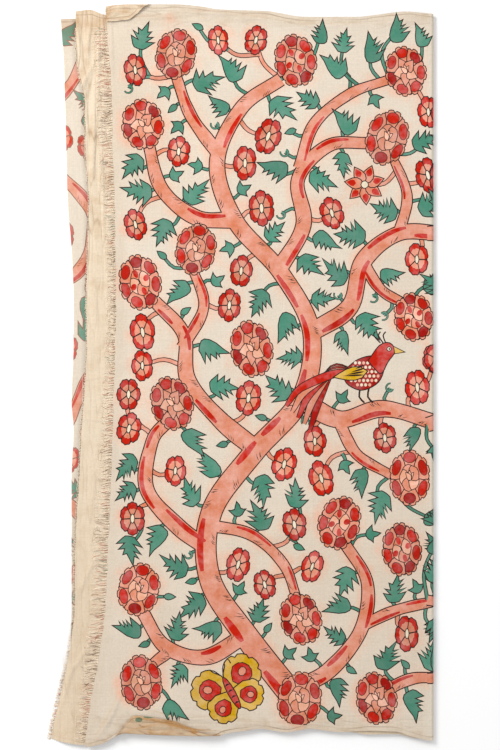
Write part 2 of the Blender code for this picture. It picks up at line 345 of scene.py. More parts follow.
def turn_line(rows, inward, x):
    """y of the line where the front layer's border turns, how much is turned, and its curl."""
    flap = read(rows, "flap", x)
    angle, radius = turn_of(flap)
    out = (radius + SOLID_THICKNESS / 2) * np.sin(np.minimum(angle, math.pi / 2))
    return read(rows, "front", x) + inward * out, flap, angle, radius


def fold_border(rows, inward, x, v):
    """y and rise of the front layer's border, which may be turned back over its face."""
    line, _, angle, radius = turn_line(rows, inward, x)
    past = np.maximum((line - v) * inward, 0.0)
    turned = np.minimum(past / radius, angle)
    straight = past - radius * turned
    y = line - inward * (radius * np.sin(turned) + straight * np.cos(turned))
    rise = radius * (1 - np.cos(turned)) + straight * np.sin(turned)
    return np.where(past > 0, y, v), rise


print("the lower border is turned back by up to", max(row.flap for row in LOWER_END), "mm")


# %% From the plan to the folded cloth
def fold_up(u, v):
    """The middle of the cloth in millimetres, one row a place, from places of the plan."""
    u, v = np.broadcast_arrays(np.asarray(u, float), np.asarray(v, float))
    low_y, low_rise = fold_border(LOWER_END, 1, u, v)
    high_y, high_rise = fold_border(UPPER_END, -1, u, v)
    on_front = u <= FRONT_END
    y = np.where(on_front, np.where(v < 0, low_y, high_y), v)
    edge = fold_edge(y)

    def layer(x, z):
        """Points of a level stretch."""
        return np.stack([x + 0 * y, y, z + 0 * y], axis=1)

    def turn(share, x, side, reach, start, stop):
        """Points of a fold that goes half round from one height to another."""
        angle = math.pi * np.clip(share, 0, 1)
        return layer(x + side * reach * np.sin(angle), mix(start, stop, (1 - np.cos(angle)) / 2))

    front = layer(u, front_height(u, y) + low_rise + high_rise)
    outer = turn(
        (u - FRONT_END) / OUTER_ARC, RIGHT_CENTRE, 1, OUTER_REACH, front_height(RIGHT_CENTRE, y), UNDER_HEIGHT
    )
    under = layer(mix(RIGHT_CENTRE, edge, (u - UNDER_START) / UNDER_WIDTH), UNDER_HEIGHT)
    left = turn((u - UNDER_END) / INNER_ARC, edge, -1, INNER_RADIUS, UNDER_HEIGHT, THIRD_HEIGHT)
    third = layer(mix(edge, RIGHT_CENTRE, (u - THIRD_START) / UNDER_WIDTH), THIRD_HEIGHT)
    inner = turn((u - THIRD_END) / INNER_ARC, RIGHT_CENTRE, 1, INNER_RADIUS, THIRD_HEIGHT, SECOND_HEIGHT)
    x = RIGHT_CENTRE - (u - SECOND_START)
    second = layer(x, second_height(x, y))
    found = front
    for start, part in (
        (FRONT_END, outer), (UNDER_START, under), (UNDER_END, left),
        (THIRD_START, third), (THIRD_END, inner), (SECOND_START, second),
    ):
        found = np.where((u > start)[:, None], part, found)
    return found


def facing(u, v, step=0.05):
    """Unit normals of the cloth's printed side."""
    run = fold_up(u + step, v) - fold_up(u - step, v)
    climb = fold_up(u, v + step) - fold_up(u, v - step)
    normal = np.cross(run, climb)
    return normal / np.maximum(np.linalg.norm(normal, axis=1), 1e-9)[:, None]


ends = read(LEFT_SIDE, "front", 0.0) + read(LEFT_SIDE, "second", 0.0)
print("the flat cloth is", round(float(SECOND_START + RIGHT_CENTRE - ends)), "mm long")

# %% [markdown]
# ## The plan's outline
#
# The outline follows the two selvedges and the two frayed ends. It has a point wherever a fold
# starts, ends or bends, so that lines of the mesh can run along the folds. `low_edge` and
# `high_edge` give v of the two selvedges for any u.

# %% Selvedges and woven edges
HIDDEN_LEFT = -252.0


def selvedge(rows, inward, u):
    """v of a selvedge, in the plan."""
    line, flap, _, _ = turn_line(rows, inward, np.minimum(u, RIGHT_CENTRE))
    front = line - inward * flap
    under_x = np.interp(
        u, (UNDER_START, UNDER_END, THIRD_START, THIRD_END),
        (RIGHT_CENTRE, HIDDEN_LEFT, HIDDEN_LEFT, RIGHT_CENTRE),
    )
    under = read(rows, "under", under_x)
    second = read(rows, "second", RIGHT_CENTRE - (u - SECOND_START))
    v = mix(front, under, ease((u - FRONT_END) / OUTER_ARC))
    return mix(v, second, ease((u - THIRD_END) / INNER_ARC))


def low_edge(u):
    """v of the lower selvedge."""
    return selvedge(LOWER_END, 1, u)


def high_edge(u):
    """v of the upper selvedge."""
    return selvedge(UPPER_END, -1, u)


def frayed_in(v):
    """How far the threads have worked loose inside the solid's edge."""
    return 5.0 * ease((v + 540) / 120) + 2.5 * np.exp(-(((v + 340) / 120) ** 2))


def front_start(v):
    """u of the front layer's woven edge, where its loose threads begin."""
    wobble = 0.5 * np.sin(v * 0.21) + 0.4 * np.sin(v * 0.083 + 1) + 0.25 * np.sin(v * 0.71 + 2)
    return read(LEFT_SIDE, "front", v) + frayed_in(v) + wobble


def second_stop(v):
    """u of the second layer's woven edge."""
    wobble = 0.3 * np.sin(v * 0.17 + 4) + 0.2 * np.sin(v * 0.9)
    return SECOND_START + RIGHT_CENTRE - read(LEFT_SIDE, "second", v) + wobble


print("the lower selvedge starts at v =", round(float(low_edge(front_start(-540.0))), 1))

# %% Outline of the plan
OUTER_STEPS = 8
INNER_STEPS = 4
EDGE_STEP = 4.0
HIDDEN_STEP = 24.0
STRIP = 48.0
FOLD_LINES = [FRONT_END + OUTER_ARC * k / OUTER_STEPS for k in range(OUTER_STEPS + 1)]
FOLD_LINES += [UNDER_END + INNER_ARC * k / INNER_STEPS for k in range(INNER_STEPS + 1)]
FOLD_LINES += [THIRD_END + INNER_ARC * k / INNER_STEPS for k in range(INNER_STEPS + 1)]


def corner(side, edge):
    """The place where a frayed end meets a selvedge."""
    v = 0.0
    for _ in range(8):
        v = float(edge(side(v)))
    return float(side(v)), v


def along_selvedge(edge, start, stop):
    """Places of one selvedge, close together where it shows and at every fold line."""
    places = list(np.arange(start, FRONT_END, EDGE_STEP)) + FOLD_LINES
    places += list(np.arange(UNDER_START, SECOND_START, HIDDEN_STEP))
    places += list(np.arange(SECOND_START, stop, HIDDEN_STEP))
    places += list(np.arange(stop - STRIP, stop, EDGE_STEP))
    kept = []
    for u in sorted(places):
        near_line = any(abs(u - line) < 1.5 and u != line for line in FOLD_LINES)
        if start + 1 < u < stop - 1 and not near_line:
            kept.append((u, float(edge(u))))
    return kept


def along_end(side, start, stop):
    """Places of one frayed end, from one selvedge to the other."""
    steps = int(abs(stop - start) / EDGE_STEP)
    return [(float(side(v)), float(v)) for v in np.linspace(start, stop, steps + 1)]


front_low, front_high = corner(front_start, low_edge), corner(front_start, high_edge)
second_low, second_high = corner(second_stop, low_edge), corner(second_stop, high_edge)
outline = along_selvedge(low_edge, front_low[0], second_low[0])
outline += along_end(second_stop, second_low[1], second_high[1])
outline += along_selvedge(high_edge, front_high[0], second_high[0])[::-1]
outline += along_end(front_start, front_high[1], front_low[1])
print("outline of", len(outline), "points")

# %% [markdown]
# ## Pens for the print
#
# Kalamkari is drawn with a bamboo pen and then filled with dyes, so every figure is a dark
# outline with a colour inside it. In code a figure is a polygon: the whole shape is laid down
# dark, and the same shape drawn in by the pen's width is laid on it in its colour. Each polygon
# goes on a coat, and later coats cover earlier ones, as flowers cover branches. The layout and
# every figure here are this script's own.

# %% Coats, and shapes on them
BARE, INK, SALMON, PEACH, RED, CRIMSON, GREEN, YELLOW, CREAM = range(9)
COATS = ("stems", "bark_line", "bark", "marks", "leaves", "flowers", "animals", "border")

Shape = namedtuple("Shape", "dye shade points")
art = {coat: [] for coat in COATS}


def lay(coat, dye, points, shade=1.0):
    """Lays one polygon on a coat, its corners in counterclockwise order."""
    points = np.asarray(points, float)
    x, y = points[:, 0], points[:, 1]
    if np.sum(x * np.roll(y, -1) - np.roll(x, -1) * y) < 0:
        points = points[::-1]
    art[coat].append(Shape(dye, shade, points))
    return points


def drawn_in(points, width):
    """The same outline, drawn in by a pen's width all round."""
    run = np.roll(points, -1, axis=0) - points
    run /= np.maximum(np.linalg.norm(run, axis=1), 1e-6)[:, None]
    side = np.stack([-run[:, 1], run[:, 0]], axis=1)
    both = side + np.roll(side, 1, axis=0)
    sharpness = np.maximum(np.sum(both * both, axis=1), 0.3) / 2
    return points + both * (width / sharpness)[:, None]


def outlined(coat, dye, points, pen=1.8, shade=1.0):
    """Lays a figure in ink, and its colour on it inside the pen's line."""
    whole = lay(coat, INK, points)
    lay(coat, dye, drawn_in(whole, pen), shade)


def turned(points, angle, at=(0.0, 0.0)):
    """Points turned about the origin, and then moved."""
    c, s = math.cos(angle), math.sin(angle)
    points = np.asarray(points, float)
    x = points[:, 0] * c - points[:, 1] * s
    y = points[:, 0] * s + points[:, 1] * c
    return np.stack([x + at[0], y + at[1]], axis=1)


print("coats, from the first to the last:", ", ".join(COATS))


# %% Lines and bands
def curve(stops, step=6.0):
    """A smooth line through a few stops, as points about one step apart."""
    stops = np.array(stops, float)
    ends = np.vstack([2 * stops[0] - stops[1], stops, 2 * stops[-1] - stops[-2]])
    found = []
    for a, b, c, d in zip(ends, ends[1:], ends[2:], ends[3:]):
        for t in np.arange(0, 1, 1 / max(2, int(np.linalg.norm(c - b) / step))):
            square = (2 * a - 5 * b + 4 * c - d) * t * t
            cube = (3 * b - a - 3 * c + d) * t**3
            found.append((2 * b + (c - a) * t + square + cube) / 2)
    return np.array(found + [stops[-1]])


def sides_of(line):
    """The way to the left at each point of a line."""
    run = np.gradient(line, axis=0)
    run /= np.linalg.norm(run, axis=1)[:, None]
    return np.stack([-run[:, 1], run[:, 0]], axis=1)


def ribbon(coat, dye, line, widths, shade=1.0, span=6):
    """A band along a line, laid in short lengths so that a bend can't cross itself."""
    half = sides_of(line) * (np.broadcast_to(widths, (len(line),)) / 2)[:, None]
    left, right = line + half, line - half
    for start in range(0, len(line) - 1, span):
        part = slice(start, min(start + span, len(line) - 1) + 1)
        lay(coat, dye, np.vstack([right[part], left[part][::-1]]), shade)


print("a curve through three stops has", len(curve(((0, 0), (30, 20), (60, 0)))), "points")


# %% Ovals and petals
def oval(x, y, across, along, count=12, angle=0.0):
    """An oval of a few corners, given its two half widths."""
    a = np.arange(count) * 2 * math.pi / count
    return turned(np.stack([across * np.cos(a), along * np.sin(a)], axis=1), angle, (x, y))


def scalloped(width, height, lobes=3, foot=0.55, per=4, rise=0.0, bulge=0.2):
    """A petal that grows along +Y and ends in rounded scallops."""
    points = [(-width * foot / 2, 0.0), (-width * 0.44, height * 0.28)]
    for lobe in range(lobes):
        start, stop = (math.pi * (1 - (lobe + k) / lobes) for k in (0, 1))
        a = np.array((width / 2 * math.cos(start), height * (0.48 + 0.42 * math.sin(start))))
        b = np.array((width / 2 * math.cos(stop), height * (0.48 + 0.42 * math.sin(stop))))
        out = np.array((math.cos((start + stop) / 2), math.sin((start + stop) / 2)))
        for k in range(per):
            swell = math.sin(math.pi * k / per) ** 0.6 * height * bulge
            points.append(tuple(mix(a, b, 0.5 - 0.5 * math.cos(math.pi * k / per)) + out * swell))
    points += [(width / 2, height * 0.48), (width * 0.44, height * 0.28), (width * foot / 2, 0.0)]
    return np.array(points) + (0, rise)


def pointed(width, height, bow=0.5, rise=0.0):
    """A pointed petal that grows along +Y."""
    y = np.linspace(0, 1, 6)[1:-1]
    side = width / 2 * np.sin(math.pi * y**bow)
    right = np.stack([side, y * height], axis=1)
    left = np.stack([-side, y * height], axis=1)[::-1]
    return np.vstack([[(0, 0)], right, [(0, height)], left]) + (0, rise)


print("a petal with three scallops has", len(scalloped(20, 30)), "corners")

# %% [markdown]
# ## Flowers, leaves and stems
#
# The print repeats a small family of figures: big rosettes at the branches' ends, blossoms of
# five or six petals, star flowers, toothed leaves like an open hand, lobed leaves, buds and
# curls. Each is a function of its place, size and turn. A hand never draws the same leaf twice,
# so lengths and shades are drawn from a random source with a fixed seed, which gives the same
# print every time.

# %% Rosettes
draw = random.Random(5)


def dye_shade():
    """A dye is never laid on twice at quite the same strength."""
    return draw.uniform(0.88, 1.1)


def rosette(x, y, radius, angle, kind):
    """A big flower: a ring of scalloped petals with dark hearts round a head of paler ones."""
    tall = draw.uniform(1.2, 1.36)
    petals = 7 if kind != 1 else 6
    wide = 2 * math.pi / petals * radius * (0.92 if kind != 1 else 0.86)
    shade = dye_shade()

    def place(points, a):
        """Points turned to a petal's place in the rosette."""
        return turned(turned(points, a) * (1, tall), angle, (x, y))

    for k in list(range(0, petals, 2)) + list(range(1, petals, 2)):
        a = 2 * math.pi * k / petals
        petal = scalloped(wide, radius * 0.66, 4, rise=radius * 0.34, bulge=0.14)
        outlined("flowers", SALMON, place(petal, a), 1.4, shade)
        dark = CRIMSON if (k + kind) % 4 == 0 else RED
        heart = oval(0, radius * 0.71, wide * 0.34, radius * 0.2, 14)
        outlined("flowers", dark, place(heart, a), 0.9, dye_shade())
    count = 5 if kind else 4
    for k in range(count):
        a = 0.35 + 2 * math.pi * k / count
        if kind == 2:
            petal = pointed(radius * 0.5, radius * 0.62, 0.6)
        else:
            petal = scalloped(radius * 0.62, radius * 0.54, 2, 0.4, bulge=0.12)
        outlined("flowers", PEACH if k % 2 else SALMON, place(petal, a), 1.2, shade)
        if kind == 0:
            dot = oval(0, radius * 0.34, radius * 0.11, radius * 0.15, 10)
            lay("flowers", RED, place(dot, a), dye_shade())
    if kind:
        for k in range(-1, 2):
            petal = pointed(radius * 0.24, radius * 0.42, 0.7, -radius * 0.12)
            outlined("flowers", PEACH, place(petal, 0.8 * k), 1.0, 1.12)


print("rosettes can be drawn")


# %% Small flowers
def blossom(x, y, radius, angle):
    """A small flower, taller than wide: red rounded petals, paler inside, and an oval eye."""
    petals = draw.choice((5, 6, 6))
    wide, tall = draw.uniform(0.8, 0.92), draw.uniform(1.12, 1.3)
    lean = draw.uniform(-0.35, 0.35)
    shade = dye_shade()

    def place(points):
        """Points set down at the flower's place, with its proportions."""
        return turned(np.asarray(points, float) * (wide, tall), lean, (x, y))

    a = np.arange(petals * 10) * 2 * math.pi / (petals * 10)
    lobes = np.abs(np.sin(petals * a / 2)) ** 0.6
    scallops = np.abs(np.sin(3 * petals * a / 2))
    reach = radius * (0.82 + 0.15 * lobes + 0.06 * scallops)
    rim = np.stack([reach * np.cos(a), reach * np.sin(a)], axis=1)
    outlined("flowers", RED, place(turned(rim, angle)), 1.5, shade)
    for k in range(petals):
        middle = angle + 2 * math.pi * (k + 0.5) / petals - math.pi / 2
        petal = scalloped(radius * 3.9 / petals, radius * draw.uniform(0.62, 0.72), 2, 0.3)
        lay("flowers", SALMON, place(turned(petal, middle)), shade * draw.uniform(0.94, 1.06))
    for k in range(petals):
        line = [(radius * 0.2, -0.9), (radius * 0.88, -0.6), (radius * 0.88, 0.6), (radius * 0.2, 0.9)]
        lay("flowers", INK, place(turned(line, angle + 2 * math.pi * k / petals)))
    outlined("flowers", CREAM, place(oval(0, 0, radius * 0.2, radius * 0.3, 12)), 1.3)


def star_flower(x, y, radius, angle):
    """A flower of seven pointed petals."""
    for k in range(7):
        a = angle + 2 * math.pi * k / 7
        outlined("flowers", SALMON, turned(pointed(radius * 0.66, radius * 1.1, 0.8), a, (x, y)), 1.5)
        lay("flowers", RED, turned(pointed(radius * 0.34, radius * 0.5, 0.7, radius * 0.45), a, (x, y)))
    outlined("flowers", CREAM, oval(x, y, radius * 0.22, radius * 0.22, 10), 1.3)


print("blossoms and star flowers can be drawn")


# %% Leaves, buds, curls and stems
def leaf_side(teeth):
    """Half of a toothed leaf, from its foot to just under its tip, in shares of its length."""
    points = [(0.05, 0.0), (0.19, 0.02), (0.29, 0.12)]
    if teeth < 2:
        return points + [(0.31, 0.32), (0.25, 0.58), (0.11, 0.88)]
    for k in range(teeth):
        t = k / teeth
        wide = 0.54 * (1 - 0.6 * t) * draw.uniform(0.86, 1.16)
        high = 0.42 + 0.62 * t + draw.uniform(-0.03, 0.07)
        points.append((wide, high))
        points.append((wide * draw.uniform(0.36, 0.46), high - 0.07))
    return points


def hand_leaf(x, y, radius, angle):
    """A leaf with pointed teeth on both sides, or on one side of a smooth belly."""
    teeth = draw.choice(((4, 4), (3, 4), (4, 3), (3, 3), (4, 1), (1, 4)))
    right, left = leaf_side(teeth[0]), leaf_side(teeth[1])
    points = np.array(right + [(0.0, 1.2)] + [(-px, py) for px, py in reversed(left)])
    points[:, 0] += draw.uniform(-0.26, 0.26) * points[:, 1] ** 2
    shape = turned((points - (0, 0.5)) * radius * 2.1, angle - math.pi / 2, (x, y))
    outlined("leaves", GREEN, shape, 1.5, dye_shade())


LOBED = (
    (-0.16, -0.6), (0.16, -0.6), (0.5, -0.42), (0.72, -0.12), (1.08, 0.2), (0.66, 0.24), (0.42, 0.36),
    (0.34, 0.75), (0.02, 1.25), (-0.22, 0.72), (-0.36, 0.34), (-0.7, 0.3), (-1.12, 0.36), (-0.8, -0.06),
    (-0.52, -0.42),
)


def lobed_leaf(x, y, radius, angle):
    """A small leaf of five lobes."""
    shape = turned(np.array(LOBED) * radius, angle - math.pi / 2, (x, y))
    outlined("leaves", GREEN, shape, 1.5, dye_shade())


def bud(x, y, radius, angle):
    """A pointed bud."""
    shape = turned(pointed(radius * 1.15, radius * 2.1, 0.75, -radius), angle - math.pi / 2, (x, y))
    outlined("leaves", GREEN, shape, 1.4, dye_shade())


def curl(x, y, radius, angle):
    """A tendril that winds inwards and thins out."""
    a = np.linspace(0, 1.45 * math.pi, 10)
    spiral = radius * (1 - 0.55 * a / a[-1])
    line = turned(np.stack([spiral * np.cos(a), spiral * np.sin(a)], axis=1), angle, (x, y))
    widths = np.linspace(1.0, 3.4, len(line))
    ribbon("leaves", INK, line, widths + 1.6)
    ribbon("leaves", GREEN, line, widths)


def stem(line, width, dye):
    """A stem along a line, thicker at its root."""
    widths = np.linspace(width * 1.2, width * 0.8, len(line))
    shade = dye_shade()
    ribbon("stems", INK, line, widths + 2.6)
    ribbon("stems", dye, line, widths, shade)


print("a lobed leaf has", len(LOBED), "corners")

# %% [markdown]
# ## The tree
#
# A flowering tree that fills the cloth is a traditional kalamkari subject. Its trunk and limbs
# are smooth lines through a few stops, wide at the root and narrow at the tip. Along them lie
# red streaks and groups of short pen strokes, which give the bark its roundness. `taken` keeps
# circles of the room that is used up, for the leaves that come later.

# %% Trunk and limbs
Limb = namedtuple("Limb", "start end stops")
LIMBS = (
    Limb(32, 17, ((92, -500), (78, -480), (12, -395), (-45, -305), (-42, -205), (22, -115),
                  (92, -35), (108, 65), (62, 155), (-6, 232), (-34, 320), (2, 402), (62, 446))),
    Limb(22, 15, ((8, -392), (-52, -424), (-112, -408), (-146, -356))),
    Limb(22, 15, ((-44, -262), (-92, -228), (-140, -170), (-132, -100), (-110, -70))),
    Limb(24, 15, ((26, -112), (-30, -66), (-78, -6), (-84, 62), (-128, 112))),
    Limb(24, 18, ((92, -36), (150, -66), (218, -50), (306, -74))),
    Limb(24, 18, ((110, 66), (166, 104), (186, 172), (240, 214), (306, 214))),
    Limb(21, 14, ((58, 158), (96, 226), (88, 296), (134, 346), (196, 350))),
    Limb(21, 14, ((-8, 234), (-66, 238), (-118, 282), (-138, 352))),
    Limb(17, 12, ((-34, 336), (-74, 392), (-96, 452))),
    Limb(15, 11, ((90, 312), (112, 378), (166, 424), (226, 446))),
    Limb(22, 13, ((76, -472), (132, -446), (182, -384), (192, -312), (158, -252))),
    Limb(15, 12, ((184, -376), (240, -352), (306, -338))),
    Limb(15, 11, ((-42, -226), (18, -240), (66, -284), (86, -336))),
    Limb(17, 12, ((204, -500), (222, -474), (262, -456), (306, -456))),
    Limb(15, 11, ((-98, -410), (-130, -434), (-146, -458))),
    Limb(15, 11, ((-86, 42), (-54, 104), (-72, 164))),
    Limb(15, 11, ((148, -66), (176, -118), (228, -150))),
    Limb(15, 11, ((186, 170), (214, 128), (258, 104))),
    Limb(14, 10, ((240, 214), (252, 272), (228, 334))),
)

print(len(LIMBS), "limbs")


# %% Bark
def add_streak(line, widths, side, hand, start, long):
    """A band of red along one side of a limb, with rounded ends."""
    part = slice(start, start + long)
    swell = np.sin(np.linspace(0.06, 0.94, long) * math.pi) ** 0.4
    middle = line[part] + side[part] * (hand * widths[part] * 0.28)[:, None]
    ribbon("marks", RED, middle, widths[part] * 0.33 * swell, dye_shade(), span=20)


def add_strokes(line, widths, side, hand, start):
    """A few short pen strokes that run in from one side of a limb."""
    for k in range(draw.choice((3, 4, 4))):
        i = min(start + k // 2, len(line) - 2)
        run = (line[i + 1] - line[i]) / np.linalg.norm(line[i + 1] - line[i])
        base = mix(line[i], line[i + 1], 0.5 * (k % 2)) + side[i] * hand * widths[i] * 0.49
        tip = base - side[i] * hand * widths[i] * draw.uniform(0.22, 0.42) + run * draw.uniform(5, 10)
        bend = (base + tip) / 2 - run * 1.2
        lay("marks", INK, [base, bend + run * 0.75, tip, bend - run * 0.75])


def add_bark(line, widths, side):
    """Streaks and strokes along a limb, now on one side and now on the other."""
    spot = 2
    while spot < len(line) - 6:
        hand = draw.choice((-1, 1))
        long = min(draw.randint(7, 13), len(line) - spot - 2)
        if draw.random() < 0.5 and long > 5:
            add_streak(line, widths, side, hand, spot, long)
            add_strokes(line, widths, side, -hand, spot + long // 2)
            spot += long + 1
        else:
            add_strokes(line, widths, side, hand, spot)
            spot += draw.randint(4, 6)


taken = []
wood = []
for limb in LIMBS:
    line = curve(limb.stops)
    share = np.linspace(0, 1, len(line))
    widths = mix(limb.start, limb.end, share) * (1.11 + 0.05 * np.sin(share * 17 + limb.start))
    ribbon("bark_line", INK, line, widths + 3.4)
    ribbon("bark", SALMON, line, widths)
    add_bark(line, widths, sides_of(line))
    wood += [(x, y, width / 2) for (x, y), width in zip(line, widths)]
taken += wood
print(len(art["marks"]), "streaks and strokes on the bark")

# %% [markdown]
# ## A bird and a butterfly
#
# Birds and butterflies live in such trees. These two are plain ones, built from a few pointed
# and oval shapes: the bird's breast carries rows of small scales, and its tail is a sheaf of
# long plumes. They go on last, over the branch they sit on.

# %% Bird
BIRD = (176.0, 2.0)
BIRD_ROOM = ((12, 4, 36), (44, 32, 26), (-34, 0, 22), (-64, -34, 26))


def add_bird(x, y):
    """A bird that looks right from its branch, with a long tail that hangs down behind it."""
    def put(points):
        """Points set down at the bird's place."""
        return np.array(points, float) + (x, y)

    for k, dye in enumerate((CRIMSON, SALMON, RED, SALMON, RED)):
        drop, out = 84 - 9 * k, 70 + 9 * k
        plume = curve(((-8, 6 - k), (-36, 8 - 2 * k), (-out * 0.8, -drop * 0.45), (-out, -drop)), 7.0)
        share = np.linspace(0, 1, len(plume))
        widths = 4 + 9 * np.sin(share * math.pi) ** 0.7 * (1 - 0.4 * share)
        ribbon("animals", INK, put(plume), widths + 2.6)
        ribbon("animals", dye, put(plume), widths, dye_shade())
    for foot in (0, 13):
        leg = curve(((6 + foot, -20), (4 + foot, -34), (12 + foot, -43)), 5.0)
        ribbon("animals", INK, put(leg), 2.8)
    body = curve(((-20, 6), (2, 23), (26, 28), (42, 14), (34, -12), (8, -25), (-16, -14), (-20, 6)), 5.0)[:-1]
    outlined("animals", CRIMSON, put(body), 1.6)
    for row in range(6):
        for column in range(8):
            spot = (-8 + column * 6.2 + 3.1 * (row % 2), 17 - row * 6.6)
            if (spot[0] - 11) ** 2 / 520 + (spot[1] - 1) ** 2 / 390 < 1:
                lay("animals", CREAM if (row + column) % 3 else PEACH, put(oval(*spot, 2.3, 2.5, 8)))
    wing = turned(pointed(22, 56, 0.7), 1.75, (x + 18, y + 5))
    outlined("animals", YELLOW, wing, 1.6)
    for k in range(4):
        barb = turned(pointed(2.8, 34 - 6 * k, 0.7), 1.62 + 0.12 * k, (x + 12, y + 5 * k - 1))
        lay("animals", INK, barb)
    neck = curve(((16, 20), (34, 44), (50, 48), (59, 35), (48, 18), (36, 0), (16, 20)), 5.0)[:-1]
    outlined("animals", RED, put(neck), 1.6)
    outlined("animals", YELLOW, put(((55, 43), (75, 33), (57, 30))), 1.2)
    outlined("animals", CREAM, put(oval(49, 38, 4.0, 3.8, 10)), 1.2)
    lay("animals", INK, put(oval(49.5, 38, 1.5, 1.5, 6)))
    for k in range(3):
        crest = curve(((44 - k * 4, 47), (40 - k * 7, 58), (44 - k * 8, 64)), 5.0)
        ribbon("animals", INK, put(crest), 2.0)


add_bird(*BIRD)
taken += [(BIRD[0] + dx, BIRD[1] + dy, radius) for dx, dy, radius in BIRD_ROOM]
print("a bird of", len(art["animals"]), "shapes")

# %% Butterfly
MOTH = (-12.0, -478.0)
MOTH_ROOM = 66.0


def add_butterfly(x, y):
    """Four wings that spread to both sides of a narrow body, drawn turned a little."""
    lean = 0.5
    for side in (-1, 1):
        for angle, wide, high in ((0.95, 56, 66), (2.15, 46, 52)):
            turn = lean + side * angle
            wing = scalloped(wide, high, 4, 0.3, 4, bulge=0.09)
            outlined("animals", YELLOW, turned(wing, turn, (x, y)), 1.7, dye_shade())
            heart = scalloped(wide * 0.58, high * 0.56, 3, 0.4, rise=high * 0.24, bulge=0.07)
            outlined("animals", RED, turned(heart, turn, (x, y)), 1.4)
            spot = oval(0, high * 0.55, wide * 0.12, high * 0.12, 8)
            outlined("animals", SALMON, turned(spot, turn, (x, y)), 1.2)
        feeler = curve(((0, 26), (side * 8, 42), (side * 19, 48), (side * 20, 40)), 4.0)
        ribbon("animals", INK, turned(feeler, lean, (x, y)), 1.8)
    outlined("animals", RED, turned(oval(0, 0, 6.5, 28, 14), lean, (x, y)), 1.6)
    for k in range(4):
        band = [(-5, -17 + 10 * k), (5, -17 + 10 * k), (0, -14 + 10 * k)]
        lay("animals", INK, turned(band, lean, (x, y)))


add_butterfly(*MOTH)
taken.append((*MOTH, MOTH_ROOM))
print("two animals of", len(art["animals"]), "shapes")

# %% [markdown]
# ## Filling the ground
#
# The painter leaves hardly any bare ground: leaves and blossoms crowd between the branches, each
# on a curved stem. A short routine does the same. It goes through the figures from large to
# small, looks for the snuggest free place that a branch can reach, sets the figure there, and
# draws its stem back to the nearest bark.

# %% What the print is filled with
Bloom = namedtuple("Bloom", "x y radius turn kind")
ROSETTES = (
    Bloom(84, 474, 33, 0.2, 0), Bloom(-152, -322, 33, -0.2, 1), Bloom(-102, -42, 33, 0.3, 2),
    Bloom(-150, 140, 33, 0.2, 0), Bloom(222, 358, 33, -0.3, 1), Bloom(-146, 378, 33, 0.1, 2),
    Bloom(-96, 484, 32, -0.2, 1), Bloom(250, 458, 32, 0.2, 2), Bloom(150, -222, 33, -0.3, 0),
    Bloom(92, -366, 32, 0.3, 2), Bloom(-148, -462, 33, 0.1, 1), Bloom(-66, 190, 32, -0.2, 1),
    Bloom(262, 88, 31, 0.2, 0), Bloom(256, -154, 32, 0.0, 1), Bloom(18, 40, 33, 0.2, 2),
    Bloom(244, -262, 31, 0.1, 0), Bloom(206, -486, 32, 0.2, 2), Bloom(90, -488, 35, -0.1, 1))
FLOWERS = ("blossom", "star")
Fill = namedtuple("Fill", "figure radius gap most reach")
FILLS = (
    Fill("star", 29.0, 5.0, 1, 90),
    Fill("blossom", 22.0, 9.0, 18, 60),
    Fill("hand", 20.0, 3.0, 28, 50),
    Fill("blossom", 20.0, 7.5, 14, 80),
    Fill("hand", 18.5, 2.8, 26, 70),
    Fill("hand", 16.0, 2.4, 24, 90),
    Fill("lobed", 13.5, 2.4, 22, 90),
    Fill("bud", 10.0, 2.4, 14, 90),
    Fill("curl", 7.5, 1.8, 10, 60),
)
print(len(ROSETTES), "rosettes, and up to", sum(fill.most for fill in FILLS), "smaller figures")

# %% Setting a figure and its stem
blossoms = []


def clearance(points, circles, batch=400):
    """How far each point is from the nearest of some circles."""
    circles = np.array(circles, float)
    best = np.full(len(points), 1e9)
    for start in range(0, len(circles), batch):
        part = circles[start:start + batch]
        away = np.hypot(points[:, :1] - part[:, 0], points[:, 1:] - part[:, 1]) - part[:, 2]
        best = np.minimum(best, away.min(axis=1))
    return best


def set_figure(fill, x, y, away):
    """Draws one figure at a place, turned away from its root."""
    if fill.figure == "blossom":
        blossom(x, y, fill.radius, draw.uniform(0, 6))
    elif fill.figure == "star":
        star_flower(x, y, fill.radius, draw.uniform(0, 6))
    elif fill.figure == "hand":
        hand_leaf(x, y, fill.radius, away + draw.uniform(-0.7, 0.7))
    elif fill.figure == "lobed":
        lobed_leaf(x, y, fill.radius, away + draw.uniform(-0.5, 0.5))
    elif fill.figure == "bud":
        bud(x, y, fill.radius, away + draw.uniform(-0.6, 0.6))
    else:
        curl(x, y, fill.radius, away)


def grow(fill, x, y):
    """Sets a figure and its stem, and returns the circles that they take up."""
    bark = np.array(wood)
    near = int(np.argmin(np.hypot(bark[:, 0] - x, bark[:, 1] - y) - bark[:, 2]))
    root, place = bark[near, :2], np.array((x, y))
    away = math.atan2(y - root[1], x - root[0])
    set_figure(fill, x, y, away)
    length = np.linalg.norm(place - root)
    across = np.array((-math.sin(away), math.cos(away)))
    bow = across * draw.choice((-1, 1)) * length * draw.uniform(0.12, 0.24)
    line = curve((root, (root + place) / 2 + bow, place), 7.0)
    if fill.figure in FLOWERS:
        blossoms.append((x, y, fill.radius * 0.82))
        stem(line, 4.6, SALMON)
        wood.extend((px, py, 2.5) for px, py in line[1:-3])
    else:
        stem(line, 3.2, GREEN)
    return [(px, py, 2.0) for px, py in line[1:-1]] + [(x, y, fill.radius)]


foot = clearance(np.array([wood[0][:2]]), wood)[0]
print("the trunk's foot is", round(-2 * float(foot)), "mm wide")

# %% Rosettes, then leaves and blossoms wherever there is room
PRINT_LEFT, PRINT_RIGHT = -187.0, 294.0
PRINT_LOW, PRINT_HIGH = -524.0, 536.0

